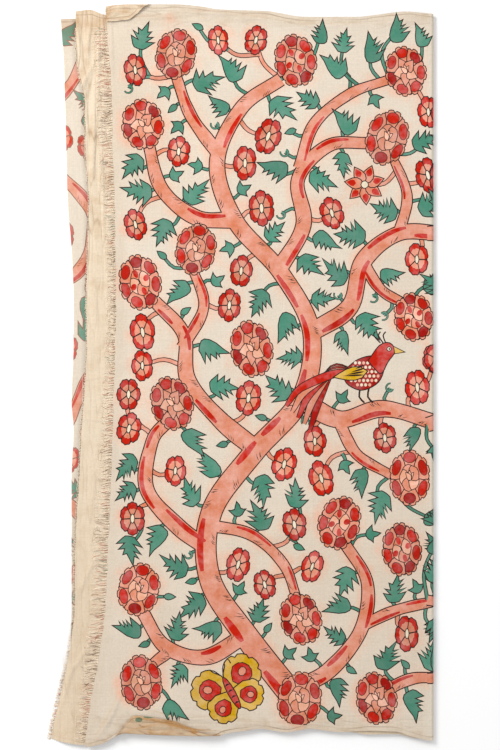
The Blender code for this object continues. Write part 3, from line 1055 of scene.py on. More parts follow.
# A rosette is taller than wide, so three circles in a row keep its room.
ROSETTE_ROOM = 1.04
ROSETTE_ROW = (-0.26, 0, 0.26)
BARK_ROOM = 9.0
SEARCH_STEP = 5.0

for bloom in ROSETTES:
    rosette(*bloom)
    for share in ROSETTE_ROW:
        along = share * bloom.radius
        x = bloom.x - math.sin(bloom.turn) * along
        y = bloom.y + math.cos(bloom.turn) * along
        taken.append((x, y, bloom.radius * ROSETTE_ROOM))
spots = np.array([
    (x + draw.uniform(-1.5, 1.5), y + draw.uniform(-1.5, 1.5))
    for x in np.arange(PRINT_LEFT, PRINT_RIGHT, SEARCH_STEP)
    for y in np.arange(PRINT_LOW, PRINT_HIGH, SEARCH_STEP)
])
free = clearance(spots, taken)
inside = np.minimum(spots[:, 0] - PRINT_LEFT, PRINT_HIGH - spots[:, 1])
inside = np.minimum(inside, spots[:, 1] - PRINT_LOW)
for fill in FILLS:
    placed = 0
    to_bark = clearance(spots, wood)
    while placed < fill.most:
        fit = (free >= fill.radius + fill.gap) & (inside >= fill.radius * 0.8) & (to_bark < fill.reach)
        if fill.figure in FLOWERS:
            fit &= to_bark > fill.radius + BARK_ROOM
        found = np.where(fit)[0]
        if not len(found):
            break
        wish = free[found] + np.array([draw.uniform(0, 22) for _ in found])
        x, y = spots[found[int(np.argmin(wish))]]
        circles = grow(fill, x, y)
        taken += circles
        free = np.minimum(free, clearance(spots, circles))
        placed += 1
    print("placed", placed, "of", fill.figure, "with a radius of", fill.radius)

# %% [markdown]
# ## The plain border
#
# The painter stops short of the lower selvedge. One bare polygon, laid on last, covers what would
# run over it, and its upper side wavers a little, as a hand's line does.

# %% Plain lower border
BORDER_TOP, BORDER_LOW = -526.0, -610.0

across = np.arange(-250.0, FRONT_END + OUTER_ARC / 2 + 12, 6.0)
wavering = BORDER_TOP + 1.5 * np.sin(across / 37) + 1.0 * np.sin(across / 11 + 2)
lower_side = np.stack([across, np.full(len(across), BORDER_LOW)], axis=1)
lay("border", BARE, np.vstack([lower_side, np.stack([across, wavering], axis=1)[::-1]]))
print("plain border up to", BORDER_TOP, "mm")

# %% [markdown]
# ## The print on the layers underneath
#
# The tree goes on over the outer fold on the right as its mirror image. That part lies face
# down, so it is laid on plainly, each figure in one colour. Only a narrow strip of the third
# layer shows, left of the frayed edges, and its own branch runs along the left fold there, with
# leaves and flowers on both sides.

# %% Mirror image, and a branch along the left fold
front_shapes = [shape for coat in COATS for shape in art[coat]]
for coat in COATS:
    art[coat] = []

MIRROR = FRONT_END + OUTER_ARC / 2
NEAR_MIRROR = 12.0
under_shapes = []
for shape in front_shapes:
    reaches_over = shape.points[:, 0].max() > MIRROR - NEAR_MIRROR
    if shape.dye != INK or reaches_over:
        points = shape.points * (-1, 1) + (2 * MIRROR, 0)
        under_shapes.append(Shape(shape.dye, shape.shade, points[::-1]))

STRIP_LIMBS = (
    ((-90, -560), (-20, -505), (40, -440), (60, -380)),
    ((-80, -330), (0, -300), (22, -230), (-30, -170)),
    ((-70, -120), (-10, -70), (30, 10), (70, 60)),
    ((-60, 120), (10, 160), (34, 240), (-10, 300), (-70, 330)),
    ((-80, 380), (-10, 420), (26, 470), (60, 560)),
)
STRIP_TRIES = 400
draw.seed(23)
strip_circles = []
for stops in STRIP_LIMBS:
    line = curve([(THIRD_START + u, v) for u, v in stops], 9.0)
    widths = 16 + 2 * np.sin(np.arange(len(line)))
    ribbon("bark_line", INK, line, widths + 3.0)
    ribbon("bark", SALMON, line, widths)
    add_bark(line, widths, sides_of(line))
    strip_circles += [(x, y, 9.0) for x, y in line]
for _ in range(STRIP_TRIES):
    u, v = THIRD_START + draw.uniform(-60, 42), draw.uniform(-530, 520)
    radius = draw.choice((14.0, 15.0, 19.0))
    if clearance(np.array([(u, v)]), strip_circles)[0] > radius:
        if radius > 18:
            blossom(u, v, radius, draw.uniform(0, 6))
        else:
            hand_leaf(u, v, radius * 1.2, draw.uniform(0, 6))
        strip_circles.append((u, v, radius * 1.1))
strip_shapes = [shape for coat in COATS for shape in art[coat]]
print(len(front_shapes), "shapes on the front and", len(under_shapes), "under it")
print(len(strip_shapes), "shapes beside the left fold")

# %% [markdown]
# ## Cutting the plan into faces
#
# The print has to be sharp, and it must fold with the cloth. An image would do, but a mesh can
# hold the drawing itself: a constrained Delaunay triangulation takes every polygon's edges as
# edges of the mesh, and says which polygons cover each face. The last one laid down gives the
# face its dye. Extra points go in where the cloth bends: an even net, rows round each curl and
# fold, and a fine net over each narrow crease.

# %% An even net, and finer ones over creases
NET_REACH = 540
NARROW = 15.0
CREASE_STEP = 7.0
CREASE_SHARE = 0.42


def net(u_start, u_stop, step, seed):
    """An even net of places, each moved a little so that no four lie on one circle."""
    shake = random.Random(seed)
    found = []
    for u in np.arange(u_start, u_stop, step):
        for v in np.arange(-NET_REACH, NET_REACH, step):
            place = (u + shake.uniform(-0.2, 0.2) * step, v + shake.uniform(-0.2, 0.2) * step)
            found.append(place)
    return found


def same(x):
    """The front layer keeps its x in the plan."""
    return x


def turned_back(rows, inward, x, y):
    """Places of a turned border that lie over x, y: one, or none where nothing is turned."""
    line, flap, angle, radius = turn_line(rows, inward, x)
    straight = (y - line) * inward
    covers = flap > 2 * LEAST_FOLD and 0.5 < straight < flap - radius * angle - 1.5
    return [(x, float(line - inward * (radius * angle + straight)))] if covers else []


def crease_net(ridges, to_plan):
    """A finer net over each narrow ridge."""
    found = []
    for ridge in ridges:
        if ridge.across > NARROW:
            continue
        turn = math.radians(ridge.turn)
        for along in np.arange(-1.7, 1.71, CREASE_STEP / ridge.along):
            for across in np.arange(-2.1, 2.11, CREASE_SHARE):
                a, c = along * ridge.along, across * ridge.across
                x = ridge.x + a * math.cos(turn) - c * math.sin(turn)
                y = ridge.y + a * math.sin(turn) + c * math.cos(turn)
                found.append((to_plan(x), y))
                if to_plan is same:
                    found += turned_back(LOWER_END, 1, x, y) + turned_back(UPPER_END, -1, x, y)
    return found


print("the front layer's creases need", len(crease_net(FRONT_RIDGES, same)), "places")

# %% Points where the cloth bends
NET = 11.0
NET_FROM = -222.0
CURL_ROWS = 6
FOLD_PLACES = 90
BAND = (SECOND_START + 480, SECOND_START + 570)


def curl_lines(rows, inward, x_start, x_stop):
    """Lines of places that run round a turned border's curl, one after another."""
    x = np.arange(x_start, x_stop, 5.0)
    line, _, angle, radius = turn_line(rows, inward, x)
    found = []
    for k in range(CURL_ROWS):
        v = line - inward * (radius * angle * k / (CURL_ROWS - 1))
        found.append([place for place, turned_by in zip(zip(x, v), angle) if turned_by > 0.05])
    return found


def second_plan(x):
    """u of a place on the second layer."""
    return SECOND_START + RIGHT_CENTRE - x


def fold_rows(u):
    """One line of places along a fold, from selvedge to selvedge."""
    low, high = float(low_edge(u)), float(high_edge(u))
    return [(u, v) for v in np.linspace(low, high, FOLD_PLACES)]


loose = net(NET_FROM, FRONT_END - 4, NET, 1) + crease_net(FRONT_RIDGES, same)
loose += net(UNDER_START + 20, UNDER_END - 20, 45.0, 2)
loose += net(THIRD_START + 50, THIRD_END - 20, 60.0, 3)
loose += net(THIRD_START + 8, THIRD_START + 42, 14.0, 4)
loose += net(SECOND_START + 20, SECOND_START + 460, 60.0, 5)
loose += net(*BAND, 8.0, 6) + crease_net(SECOND_RIDGES, second_plan)
curls = curl_lines(LOWER_END, 1, -200, 4) + curl_lines(UPPER_END, -1, -212, -122)
lines = [fold_rows(u) for u in FOLD_LINES] + [line for line in curls if len(line) > 1]
print(len(loose), "loose places and", len(lines), "lines")

# %% [markdown]
# The triangulation runs twice. The first run knows all the figures, and it also cuts along the
# outlines that later figures cover. Limited dissolve removes those: in a flat mesh whose dyes
# are its materials, it joins faces of one dye and keeps every edge between two. The second run
# takes the edges that are left, adds the net, and asks the first mesh for each triangle's dye.

# %% Two cuts of the plan
MARGIN = 2.5
SAME_PLACE = 0.001


def inside_plan(places):
    """Which places are well inside the plan's outline."""
    u, v = np.array(places, float).T
    room = np.minimum(v - low_edge(u), high_edge(u) - v)
    room = np.minimum(room, u - front_start(v))
    return np.minimum(room, second_stop(v) - u) > MARGIN


def cut(places, edges, faces):
    """Places and triangles of a flat cut inside the first face, and the last face that covers each."""
    points = [Vector((float(u), float(v))) for u, v in places]
    found = delaunay_2d_cdt(points, edges, faces, 0, SAME_PLACE, True)
    kept = [(face, max(covers)) for face, covers in zip(found[2], found[5]) if 0 in covers]
    plan = np.array([tuple(point) for point in found[0]])
    return plan, np.array([face for face, _ in kept]), np.array([top for _, top in kept])


def cut_with_net(outline, seams, loose, lines):
    """A cut that keeps some seams as edges and adds loose places and lines."""
    places = [tuple(place) for place in outline]
    faces = [list(range(len(outline)))]
    edges = []
    for line in list(seams) + list(lines):
        edges += [(k, k + 1) for k in range(len(places), len(places) + len(line) - 1)]
        places += [tuple(place) for place in line]
    places += [place for place, keep in zip(loose, inside_plan(loose)) if keep]
    return cut(places, edges, faces)


def rim_of(triangles):
    """The places round a flat mesh, in order."""
    ends = np.concatenate([triangles[:, [0, 1]], triangles[:, [1, 2]], triangles[:, [2, 0]]])
    ways = {(a, b) for a, b in ends.tolist()}
    after = {a: b for a, b in ways if (b, a) not in ways}
    loop = [min(after)]
    while after[loop[-1]] != loop[0]:
        loop.append(after[loop[-1]])
    return loop


shapes = front_shapes + under_shapes + strip_shapes
places = list(outline)
faces = [list(range(len(outline)))]
for shape in shapes:
    faces.append(list(range(len(places), len(places) + len(shape.points))))
    places += list(shape.points)
drawn, drawn_faces, drawn_top = cut(places, [], faces)
shape_dyes = np.array([0] + [shape.dye for shape in shapes])
shape_shades = np.array([1.0] + [round(shape.shade, 3) for shape in shapes])
looks, face_looks = np.unique(
    np.stack([shape_dyes[drawn_top], shape_shades[drawn_top]], axis=1), axis=0, return_inverse=True
)
face_looks = face_looks.reshape(-1)
print("first cut:", len(drawn_faces), "triangles in", len(looks), "shades")

# %% Keep the edges that show, and cut again
STRAIGHT = math.radians(2.0)

flat = bpy.data.meshes.new("drawn_plan")
flat.from_pydata([(u, v, 0) for u, v in drawn], [], drawn_faces.tolist())
flat.polygons.foreach_set("material_index", face_looks.astype(np.int32))
bm = bmesh.new()
bm.from_mesh(flat)
bpy.data.meshes.remove(flat)
bm.normal_update()
bmesh.ops.dissolve_limit(
    bm, angle_limit=STRAIGHT, use_dissolve_boundaries=False,
    verts=bm.verts, edges=bm.edges, delimit={"MATERIAL"},
)
seams = [[tuple(vert.co.xy) for vert in edge.verts] for edge in bm.edges if not edge.is_boundary]
bm.free()
outline = [tuple(drawn[k]) for k in rim_of(drawn_faces)]
plan, triangles, _ = cut_with_net(outline, seams, loose, lines)

flat_tree = BVHTree.FromPolygons([(u, v, 0) for u, v in drawn.tolist()], drawn_faces.tolist())
middles = plan[triangles].mean(axis=1)
nearest = [flat_tree.find_nearest((u, v, 0))[2] for u, v in middles.tolist()]
look_of = looks[face_looks[nearest]]
print("second cut:", len(plan), "places and", len(triangles), "triangles")

# %% [markdown]
# ## The other side, the rim and the fold
#
# The back of the cloth is bare and mostly hidden, so it needs only the points that follow the
# folds. Its outline is the printed side's rim, point for point, so `bridge_loops` can join the
# two rims into one closed sheet. Then every point goes to its place in the folded cloth, half a
# sheet's thickness to its own side of the middle.

# %% Both sides as one closed sheet
FRONT_BACK_NET = 16.0
FRINGE_LOW, FRINGE_HIGH = -548.0, 524.0

back_loose = net(NET_FROM, FRONT_END - 4, FRONT_BACK_NET, 7) + crease_net(FRONT_RIDGES, same)
back_loose += net(*BAND, 8.0, 6) + crease_net(SECOND_RIDGES, second_plan)
back_loose += net(UNDER_START + 20, SECOND_START + 470, 60.0, 2)
Bleed = namedtuple("Bleed", "x y across along turn")
BLEEDS = (Bleed(-151.5, -517.5, 5.5, 3.6, 0.2), Bleed(-136.0, -513.0, 9.0, 2.2, 0.1))
seeped = []
for bleed in BLEEDS:
    line, _, angle, radius = (float(part) for part in turn_line(LOWER_END, 1, bleed.x))
    middle = (bleed.x, line - radius * angle - (bleed.y - line))
    seeped.append(oval(*middle, bleed.across, bleed.along, 14, -bleed.turn))
rim = rim_of(triangles)
seeped_lines = [np.vstack([spot, spot[:1]]) for spot in seeped]
back_plan, back_triangles, _ = cut_with_net([plan[k] for k in rim], seeped_lines, back_loose, lines)

whole_plan = np.vstack([plan, back_plan])
side = np.concatenate([np.full(len(plan), 0.5), np.full(len(back_plan), -0.5)])
normals = facing(whole_plan[:, 0], whole_plan[:, 1])
points = fold_up(whole_plan[:, 0], whole_plan[:, 1]) + normals * (side * SHEET)[:, None]
shift_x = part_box("cloth")[1].x - RIGHT_SIDE * MM
shift_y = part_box("fringe_front")[0].y - FRINGE_LOW * MM
shift = Vector((shift_x, shift_y, 0.0))
points = points * MM + np.array(shift)

mesh = bpy.data.meshes.new("printed_cloth")
all_faces = np.vstack([triangles, back_triangles[:, ::-1] + len(plan)])
mesh.from_pydata(points.tolist(), [], all_faces.tolist())
bm = bmesh.new()
bm.from_mesh(mesh)
rims = [edge for edge in bm.edges if edge.is_boundary]
bridged = bmesh.ops.bridge_loops(bm, edges=rims)["faces"]
longest = max(edge.calc_length() for face in bridged for edge in face.edges)
print("rim of", len(rim), "points bridged by", len(bridged), "faces")
print("longest side of a rim face:", round(longest / MM, 1), "mm")
bm.to_mesh(mesh)
bm.free()
cloth = bpy.data.objects.new("printed_cloth", mesh)
bpy.context.collection.objects.link(cloth)
loose_ends = sum(1 for edge in mesh.edges if edge.is_loose)
print("sheet:", len(mesh.polygons), "faces,", loose_ends, "loose edges")

# %% [markdown]
# ## What the sheet knows about itself
#
# The material needs to know more than a place: each face's dye and how strong it is, how much
# colour has spread into the cotton round a figure, how tanned and how crumpled the cloth is, and
# how far it is from a selvedge or from the edge of the layer above, beside which painted shade
# darkens the layer below. These go into attributes. Where several causes tan one place, such as
# a turned border and a hem, the strongest one counts, and the narrow creases add painted shade
# along one side. `plan` keeps the flat place in metres, so that the weave follows the cloth round
# its folds. `OFBake` packs the same plan into one square, with the most room for the side that shows.

# %% Dyes
def linear(red, green, blue):
    """A colour given in 0 to 255, as the light that it sends back."""
    return tuple(((c / 255 + 0.055) / 1.055) ** 2.4 for c in (red, green, blue))


LIGHT_LEVEL = 1.06
DYES = {
    BARE: linear(227, 215, 197),
    INK: linear(52, 35, 32),
    SALMON: linear(229, 154, 129),
    PEACH: linear(242, 184, 158),
    RED: linear(202, 62, 54),
    CRIMSON: linear(170, 48, 44),
    GREEN: linear(88, 145, 124),
    YELLOW: linear(226, 182, 76),
    CREAM: linear(240, 228, 202),
}
BACK_COLOUR = linear(231, 214, 189)
PALER = 0.14
STRIP_PALER = 0.34
STRIP_TAIL = 80.0
SEEPED = 0.8

printed = len(triangles)
dye_table = np.array([DYES[k] for k in range(len(DYES))]) / LIGHT_LEVEL
paint = np.tile(np.array(BACK_COLOUR) / LIGHT_LEVEL, (len(mesh.polygons), 1))
dye = look_of[:, 0].astype(int)
paint[:printed] = dye_table[dye] * look_of[:, 1:2]
hidden = middles[:, 0] > UNDER_END - STRIP_TAIL
paint[:printed][hidden] = mix(paint[:printed][hidden], dye_table[0], PALER)
faint = hidden & (dye == INK)
paint[:printed][faint] = mix(paint[:printed][faint], dye_table[SALMON], STRIP_PALER)
dyed = np.zeros(len(mesh.polygons))
dyed[:printed] = dye > 0
back_middles = back_plan[back_triangles].mean(axis=1)
for spot, bleed in zip(seeped, BLEEDS):
    place = turned(back_middles - spot.mean(axis=0), bleed.turn) / (bleed.across, bleed.along)
    through = printed + np.where(np.hypot(*place.T) < 1)[0]
    paint[through] = mix(paint[through], dye_table[GREEN], SEEPED)


def store(name, kind, domain, values):
    """Writes one attribute of the sheet."""
    made = mesh.attributes.new(name, kind, domain)
    field = "color" if kind == "FLOAT_COLOR" else "value"
    made.data.foreach_set(field, np.asarray(values, np.float32).reshape(-1))


corners = np.empty(len(mesh.polygons), np.int32)
mesh.polygons.foreach_get("loop_total", corners)
opaque = np.hstack([paint, np.ones((len(paint), 1))])
store("paint", "FLOAT_COLOR", "CORNER", np.repeat(opaque, corners, axis=0))
store("dyed", "FLOAT", "CORNER", np.repeat(dyed, corners))
print("dyed share of the printed side:", round(float(dyed[:printed].mean()), 2))

# %% Spread of dye
SPREAD = 7.5
SMEAR = ((-101.0, 512.0, 12.0), (-105.0, 524.0, 8.0), (-109.0, 533.0, 4.0))

u, v = whole_plan.T
warm = wood + blossoms + list(SMEAR)
warm += [(bloom.x, bloom.y, bloom.radius * 1.05) for bloom in ROSETTES]
on_front = (u <= FRONT_END) & (side > 0)
halo = np.zeros(len(u))
from_warm = np.maximum(clearance(whole_plan[on_front], warm), 0)
halo[on_front] = np.exp(-((from_warm / SPREAD) ** 2))
store("halo", "FLOAT", "POINT", halo)
print("dye has spread to", int((halo > 0.2).sum()), "points")

# %% Age, and painted shade beside creases
FINE_RIDGE = 6.0
SHADE_BESIDE, SHADE_WIDE = 0.9, 0.6


def tan(area, most, share):
    """How tanned an area is: not at all where the share is 0, the most where it is 1."""
    return area * most * ease(share)


front_layer = u <= FRONT_END
second_layer = u > SECOND_START
low_line, low_flap, _, _ = turn_line(LOWER_END, 1, u)
high_line, high_flap, _, _ = turn_line(UPPER_END, -1, u)
low_turned = front_layer * ease((low_line + 3 - v) / 6) * ease(low_flap / 4)
high_turned = front_layer * ease((v - high_line + 3) / 6) * ease(high_flap / 4)
hem = 11.0 + 2.5 * np.sin(u / 41) + 1.5 * np.sin(u / 13 + 1)
age = np.maximum.reduce([
    low_turned * 0.46,
    high_turned * 0.20,
    tan(front_layer, 0.07, (60 - v) / 320),
    tan(front_layer, 0.13, (v - 180) / 200) * ease((-20 - u) / 160),
    tan(front_layer, 0.14, (v - high_edge(u) + hem) / 1.5),
    tan(front_layer, 0.08, (v - 522) / 12),
    tan(front_layer, 0.20, (low_edge(u) + hem - v) / 4),
    tan(front_layer, 0.10, (-v - 500) / 24),
])
x, y = ((points - np.array(shift)) / MM)[:, :2].T
# Painted shade: a dark band along one side of each narrow crease.
for ridge in FRONT_RIDGES + SECOND_RIDGES:
    if ridge.across < FINE_RIDGE:
        of_layer = second_layer if ridge in SECOND_RIDGES else front_layer
        along, over = ridge_place(ridge, x, y)
        beside = (over - SHADE_BESIDE) / SHADE_WIDE
        age = age + of_layer * ridge.dirt * np.exp(-(along**2) - beside**2)
age = np.maximum.reduce([
    age,
    tan(front_layer, 0.15, (front_start(v) + 20 - u) / 14),
    second_layer * mix(0.02, 0.14, ease((-v - 120) / 400)),
    tan(second_layer, 0.26, (v - 490) / 40),
    (u > UNDER_END - 30) * (u < THIRD_END) * mix(0.04, 0.4, ease((v - 485) / 45)),
])
store("age", "FLOAT", "POINT", age)
print("age up to", round(float(age.max()), 2))

# %% Crumpling, and distances from edges
FAR = 100.0

crush = np.maximum.reduce([
    low_turned,
    high_turned,
    second_layer * mix(0.3, 0.7, ease((v - 60) / 200)),
    tan(front_layer, 0.36, (v - 510) / 25),
    tan(front_layer, 0.35, (-v - 490) / 30),
])
store("crush", "FLOAT", "POINT", crush)
from_edge = np.minimum(v - low_edge(u), high_edge(u) - v)
store("from_edge", "FLOAT", "POINT", from_edge)
# Distance to the second layer's edge over the strip, for the painted shade that darkens the strip beside that
# edge.
in_strip = (u > UNDER_END) & (u < THIRD_END)
edge_above = RIGHT_CENTRE - (second_stop(v) - SECOND_START)
store("from_edge_above", "FLOAT", "POINT", np.where(in_strip, edge_above - x, FAR))
print("crumpled by more than a half at", int((crush > 0.5).sum()), "points")

# %% Two maps of the plan
MAP_MARGIN = 0.005
FRONT_SCALE = 1 / 1210.0
REST_SCALE = 1 / 3600.0
BACK_SHARE = 0.9
REST_LEFT = 0.45
REST_ROW = 0.34
PLAN_LEFT, PLAN_LOW = -240.0, -592.0

loop_vertex = np.empty(len(mesh.loops), np.int32)
mesh.loops.foreach_get("vertex_index", loop_vertex)
loop_face = np.repeat(np.arange(len(mesh.polygons)), corners)
place = whole_plan[loop_vertex]
face_u = np.bincount(loop_face, place[:, 0]) / corners
face_side = np.zeros(len(mesh.polygons), bool)
face_side[printed:] = True
of_front = (face_u <= FRONT_END)[loop_face]
of_back = face_side[loop_face]
metres = mesh.uv_layers.new(name="plan")
metres.data.foreach_set("uv", (place * MM).astype(np.float32).reshape(-1))

from_left = place[:, 0] - np.where(of_front, PLAN_LEFT, FRONT_END)
from_low = place[:, 1] - PLAN_LOW
square = np.empty((len(place), 2))
islands = (
    (of_front & ~of_back, FRONT_SCALE, 0.0, 0.0),
    (~of_front & ~of_back, REST_SCALE, REST_LEFT, 0.0),
    (~of_front & of_back, REST_SCALE, REST_LEFT, REST_ROW),
    (of_front & of_back, REST_SCALE * BACK_SHARE, REST_LEFT, 2 * REST_ROW),
)
for chosen, scale, left, low in islands:
    square[chosen, 0] = left + MAP_MARGIN + from_left[chosen] * scale
    square[chosen, 1] = low + MAP_MARGIN + from_low[chosen] * scale
baked = mesh.uv_layers.new(name="OFBake")
baked.data.foreach_set("uv", square.astype(np.float32).reshape(-1))
print("bake map spans", square.min(axis=0).round(3), "to", square.max(axis=0).round(3))

mesh.shade_smooth()
mesh.normals_split_custom_set_from_vertices((normals * np.where(side > 0, 1, -1)[:, None]).tolist())
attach(cloth, "root")
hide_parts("cloth")

# %% [markdown]
# ## Loose threads
#
# Where the cloth was cut, its cross threads have worked loose. The real edge has over a thousand
# of them, each a fraction of a millimetre thick. They lie in small clumps whose threads bend
# together, some are dyed along a part of their length, and a few long ones have come free and
# lie tangled along the edge. The threads at a clump's edges carry a coloured stretch most often,
# and there it also stands for painted shade in the gaps between clumps.
# Each thread is a curve with a round bevel. One curve object holds them all, and it is turned
# into one mesh, which is light because a thread has only a few dozen faces.

# %% The way of one thread
THREAD_RADIUS = 0.19
THREAD_STOPS = 8
LAY = 0.35
Clump = namedtuple("Clump", "middle lean wave phase")


def below_front(x, y):
    """Height of the surface under the front layer's threads."""
    return second_height(x, y) + SHEET / 2


def below_second(x, y):
    """Height of the surface under the second layer's threads."""
    return (THIRD_HEIGHT + SHEET / 2) * (1 - droop(x, y))


def new_clump(draw, middle):
    """What the threads of one small clump share."""
    phase = 1.2 + 1.3 * math.sin(middle / 60) + draw.gauss(0, 0.35)
    return Clump(middle, draw.gauss(-0.08, 0.09), draw.uniform(1.1, 2.4), phase)


def thread(draw, clump, x, y, z, length, below):
    """Stops of one thread that leaves an edge to the left, wavers, and settles on what is below."""
    wave = clump.wave + draw.gauss(0, 0.2)
    phase = clump.phase + draw.gauss(0, 0.25)
    lift = abs(draw.gauss(0, 0.45))
    stops = []
    root = x + draw.uniform(0.4, 1.8)
    for k in range(THREAD_STOPS):
        share = k / (THREAD_STOPS - 1)
        px = root - share * length
        gathered = mix(y, clump.middle, 0.6 * math.sin(math.pi * share))
        bend = wave * share**0.5 * (math.sin(share * 7.0 + phase) - math.sin(phase)) * 0.8
        py = gathered + share * length * clump.lean + bend
        settled = below(px, py) + THREAD_RADIUS + LAY * lift * math.sin(math.pi * share) + 0.1 * lift
        stops.append((px, py, mix(z, float(settled), float(ease(share * 2.2)))))
    return stops


print("each thread has", THREAD_STOPS, "stops and is", 2 * THREAD_RADIUS, "mm thick")

# %% Colours of a thread, and threads that have come free
UNDYED = ((linear(252, 240, 220), 6), (linear(246, 230, 206), 3), (linear(232, 212, 186), 1))
DYED = {"pink": linear(204, 122, 102), "brown": linear(122, 84, 66), "teal": linear(104, 136, 122)}


def thread_colours(draw, y, count, dye_and_shade_share):
    """One thread's colour at each stop: bare cotton, and sometimes a dyed stretch, which at a clump's edge
    also stands for painted shade.
    """
    shades, weights = zip(*UNDYED)
    tone = draw.uniform(0.95, 1.05)
    colours = [draw.choices(shades, weights)[0]] * count
    if draw.random() < dye_and_shade_share:
        section = math.sin(y * 0.061) + math.sin(y * 0.023 + 2) + draw.gauss(0, 0.5)
        dye = "teal" if section > 1.5 else "pink" if section > 0 else "brown"
        start = draw.randint(0, count // 2)
        for k in range(start, min(start + draw.randint(2, 4), count)):
            colours[k] = DYED[dye]
    return [tuple(tone * c for c in colour) for colour in colours]


def stray(draw, x, y, length, reach, below):
    """A long thread that has come free and lies tangled along the edge."""
    heading = draw.choice((-1, 1)) * math.pi / 2
    stops = []
    for _ in range(2 * THREAD_STOPS):
        stops.append((x, y, float(below(x, y)) + THREAD_RADIUS * 2 + draw.uniform(0.1, 0.7)))
        heading += draw.gauss(0, 0.55)
        x += math.cos(heading) * length / (2 * THREAD_STOPS)
        y += math.sin(heading) * length / (2 * THREAD_STOPS)
        x = min(max(x, reach[0]), reach[1])
    return stops


print(len(UNDYED), "shades of bare cotton, and dyed stretches in", ", ".join(DYED))


# %% Threads as bevelled curves
def add_threads(name, paths, colours):
    """One mesh of bevelled curves, with a colour for every stop of every thread."""
    curve_data = bpy.data.curves.new(name, "CURVE")
    curve_data.dimensions = "3D"
    curve_data.bevel_depth = THREAD_RADIUS * MM
    curve_data.bevel_resolution = 0
    for stops in paths:
        spline = curve_data.splines.new("POLY")
        spline.points.add(len(stops) - 1)
        for point, stop in zip(spline.points, stops):
            point.co = (*(Vector(stop) * MM + shift), 1.0)
    guide = bpy.data.objects.new(name + "_guide", curve_data)
    bpy.context.collection.objects.link(guide)
    bpy.context.view_layer.update()
    graph = bpy.context.evaluated_depsgraph_get()
    made = bpy.data.meshes.new_from_object(guide.evaluated_get(graph))
    made.name = name
    bpy.data.objects.remove(guide, do_unlink=True)
    bpy.data.curves.remove(curve_data)
    made.materials.clear()
    around = len(made.vertices) // sum(len(stops) for stops in paths)
    by_stop = np.array([(*colour, 1.0) for row in colours for colour in row], np.float32)
    stored = made.attributes.new("thread", "FLOAT_COLOR", "POINT")
    stored.data.foreach_set("color", np.repeat(by_stop, around, axis=0).reshape(-1))
    made.shade_smooth()
    obj = bpy.data.objects.new(name, made)
    bpy.context.collection.objects.link(obj)
    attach(obj, "root")
    print(name, "has", len(paths), "threads of", around, "sides and", len(made.polygons), "faces")
    return obj


print("a bevel of", THREAD_RADIUS * MM, "m makes each curve a thread")

# %% The two frayed edges
CLUMP_THREADS = 6
# The threads at a clump's edges are the most often coloured: a stretch there is partly dye and partly painted
# shade in the gap between two clumps.
DYE_AND_SHADE_SHARES = (1.0, 0.5, 0.1, 0.1, 0.1, 0.5)
FRONT_STRAYS, SECOND_STRAYS = 70, 26
FREE_ENDS = 25
STRAY_DYED = 0.3


def frayed_edge(draw, edge, reach, height, below, strays):
    """Clumps of threads from one selvedge to the other, then a few that have come free."""
    paths, colours = [], []
    y = FRINGE_LOW
    while y < FRINGE_HIGH:
        wide = min(draw.uniform(2.4, 4.8), FRINGE_HIGH - y)
        clump = new_clump(draw, y + wide / 2)
        for k in range(CLUMP_THREADS):
            root = y + wide * k / CLUMP_THREADS
            x = float(edge(root))
            length = float(reach(root)) * draw.triangular(0.7, 1.15, 0.95)
            paths.append(thread(draw, clump, x, root, float(height(x, root)), length, below))
            colours.append(thread_colours(draw, root, THREAD_STOPS, DYE_AND_SHADE_SHARES[k]))
        y += wide
    for _ in range(strays):
        y = draw.uniform(FRINGE_LOW + FREE_ENDS, FRINGE_HIGH - FREE_ENDS)
        x, most = float(edge(y)), float(reach(y))
        start = x - draw.uniform(0.2, 0.9) * most
        paths.append(stray(draw, start, y, draw.uniform(14, 50), (x - most, x - 1.0), below))
        colours.append(thread_colours(draw, y, 2 * THREAD_STOPS, STRAY_DYED))
    return paths, colours


def front_reach(y):
    """How far the front layer's threads reach."""
    return read(LEFT_SIDE, "front_fray", y) + frayed_in(y)


def second_reach(y):
    """How far the second layer's threads reach."""
    return read(LEFT_SIDE, "second_fray", y)


def second_start(y):
    """x of the second layer's woven edge."""
    return read(LEFT_SIDE, "second", y)


front_rows = frayed_edge(
    random.Random(31), front_start, front_reach, front_height, below_front, FRONT_STRAYS
)
fringe_front = add_threads("front_edge_threads", *front_rows)
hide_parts("fringe_front")
second_rows = frayed_edge(
    random.Random(32), second_start, second_reach, second_height, below_second, SECOND_STRAYS
)
fringe_second = add_threads("second_edge_threads", *second_rows)
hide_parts("fringe_second")

# %% [markdown]
# ## Shared effects
#
# Cotton shows the same few things wherever it is: a plain weave with thicker threads here and
# there, dyes that a hand lays on unevenly, and what years of storing do to it, which is tan,
# stains and small pleats. Painted shade goes into the pleats and along a line by each hem. Each
# effect is a node group with named sockets, so both materials can use it with their own values.
# The groups put out colours and heights only, and the shader itself stays in the material.

# %% Node helpers
def new_group(name, inputs, outputs):
    """An empty node group with named sockets, and its input and output nodes."""
    group = bpy.data.node_groups.new(name, "ShaderNodeTree")
    for label, kind, value in inputs:
        socket = group.interface.new_socket(name=label, in_out="INPUT", socket_type=kind)
        if value is not None:
            socket.default_value = value
    for label, kind in outputs:
        group.interface.new_socket(name=label, in_out="OUTPUT", socket_type=kind)
    return group, group.nodes.new("NodeGroupInput"), group.nodes.new("NodeGroupOutput")


def node(tree, kind, settings=None, **inputs):
    """A node with some settings. Its inputs are linked or set by name, or by number, as in _0."""
    made = tree.nodes.new(kind)
    for name, value in (settings or {}).items():
        setattr(made, name, value)
    for name, value in inputs.items():
        socket = made.inputs[int(name[1:]) if name[1:].isdigit() else name.replace("_", " ")]
        if isinstance(value, bpy.types.NodeSocket):
            tree.links.new(value, socket)
        else:
            socket.default_value = value
    return made


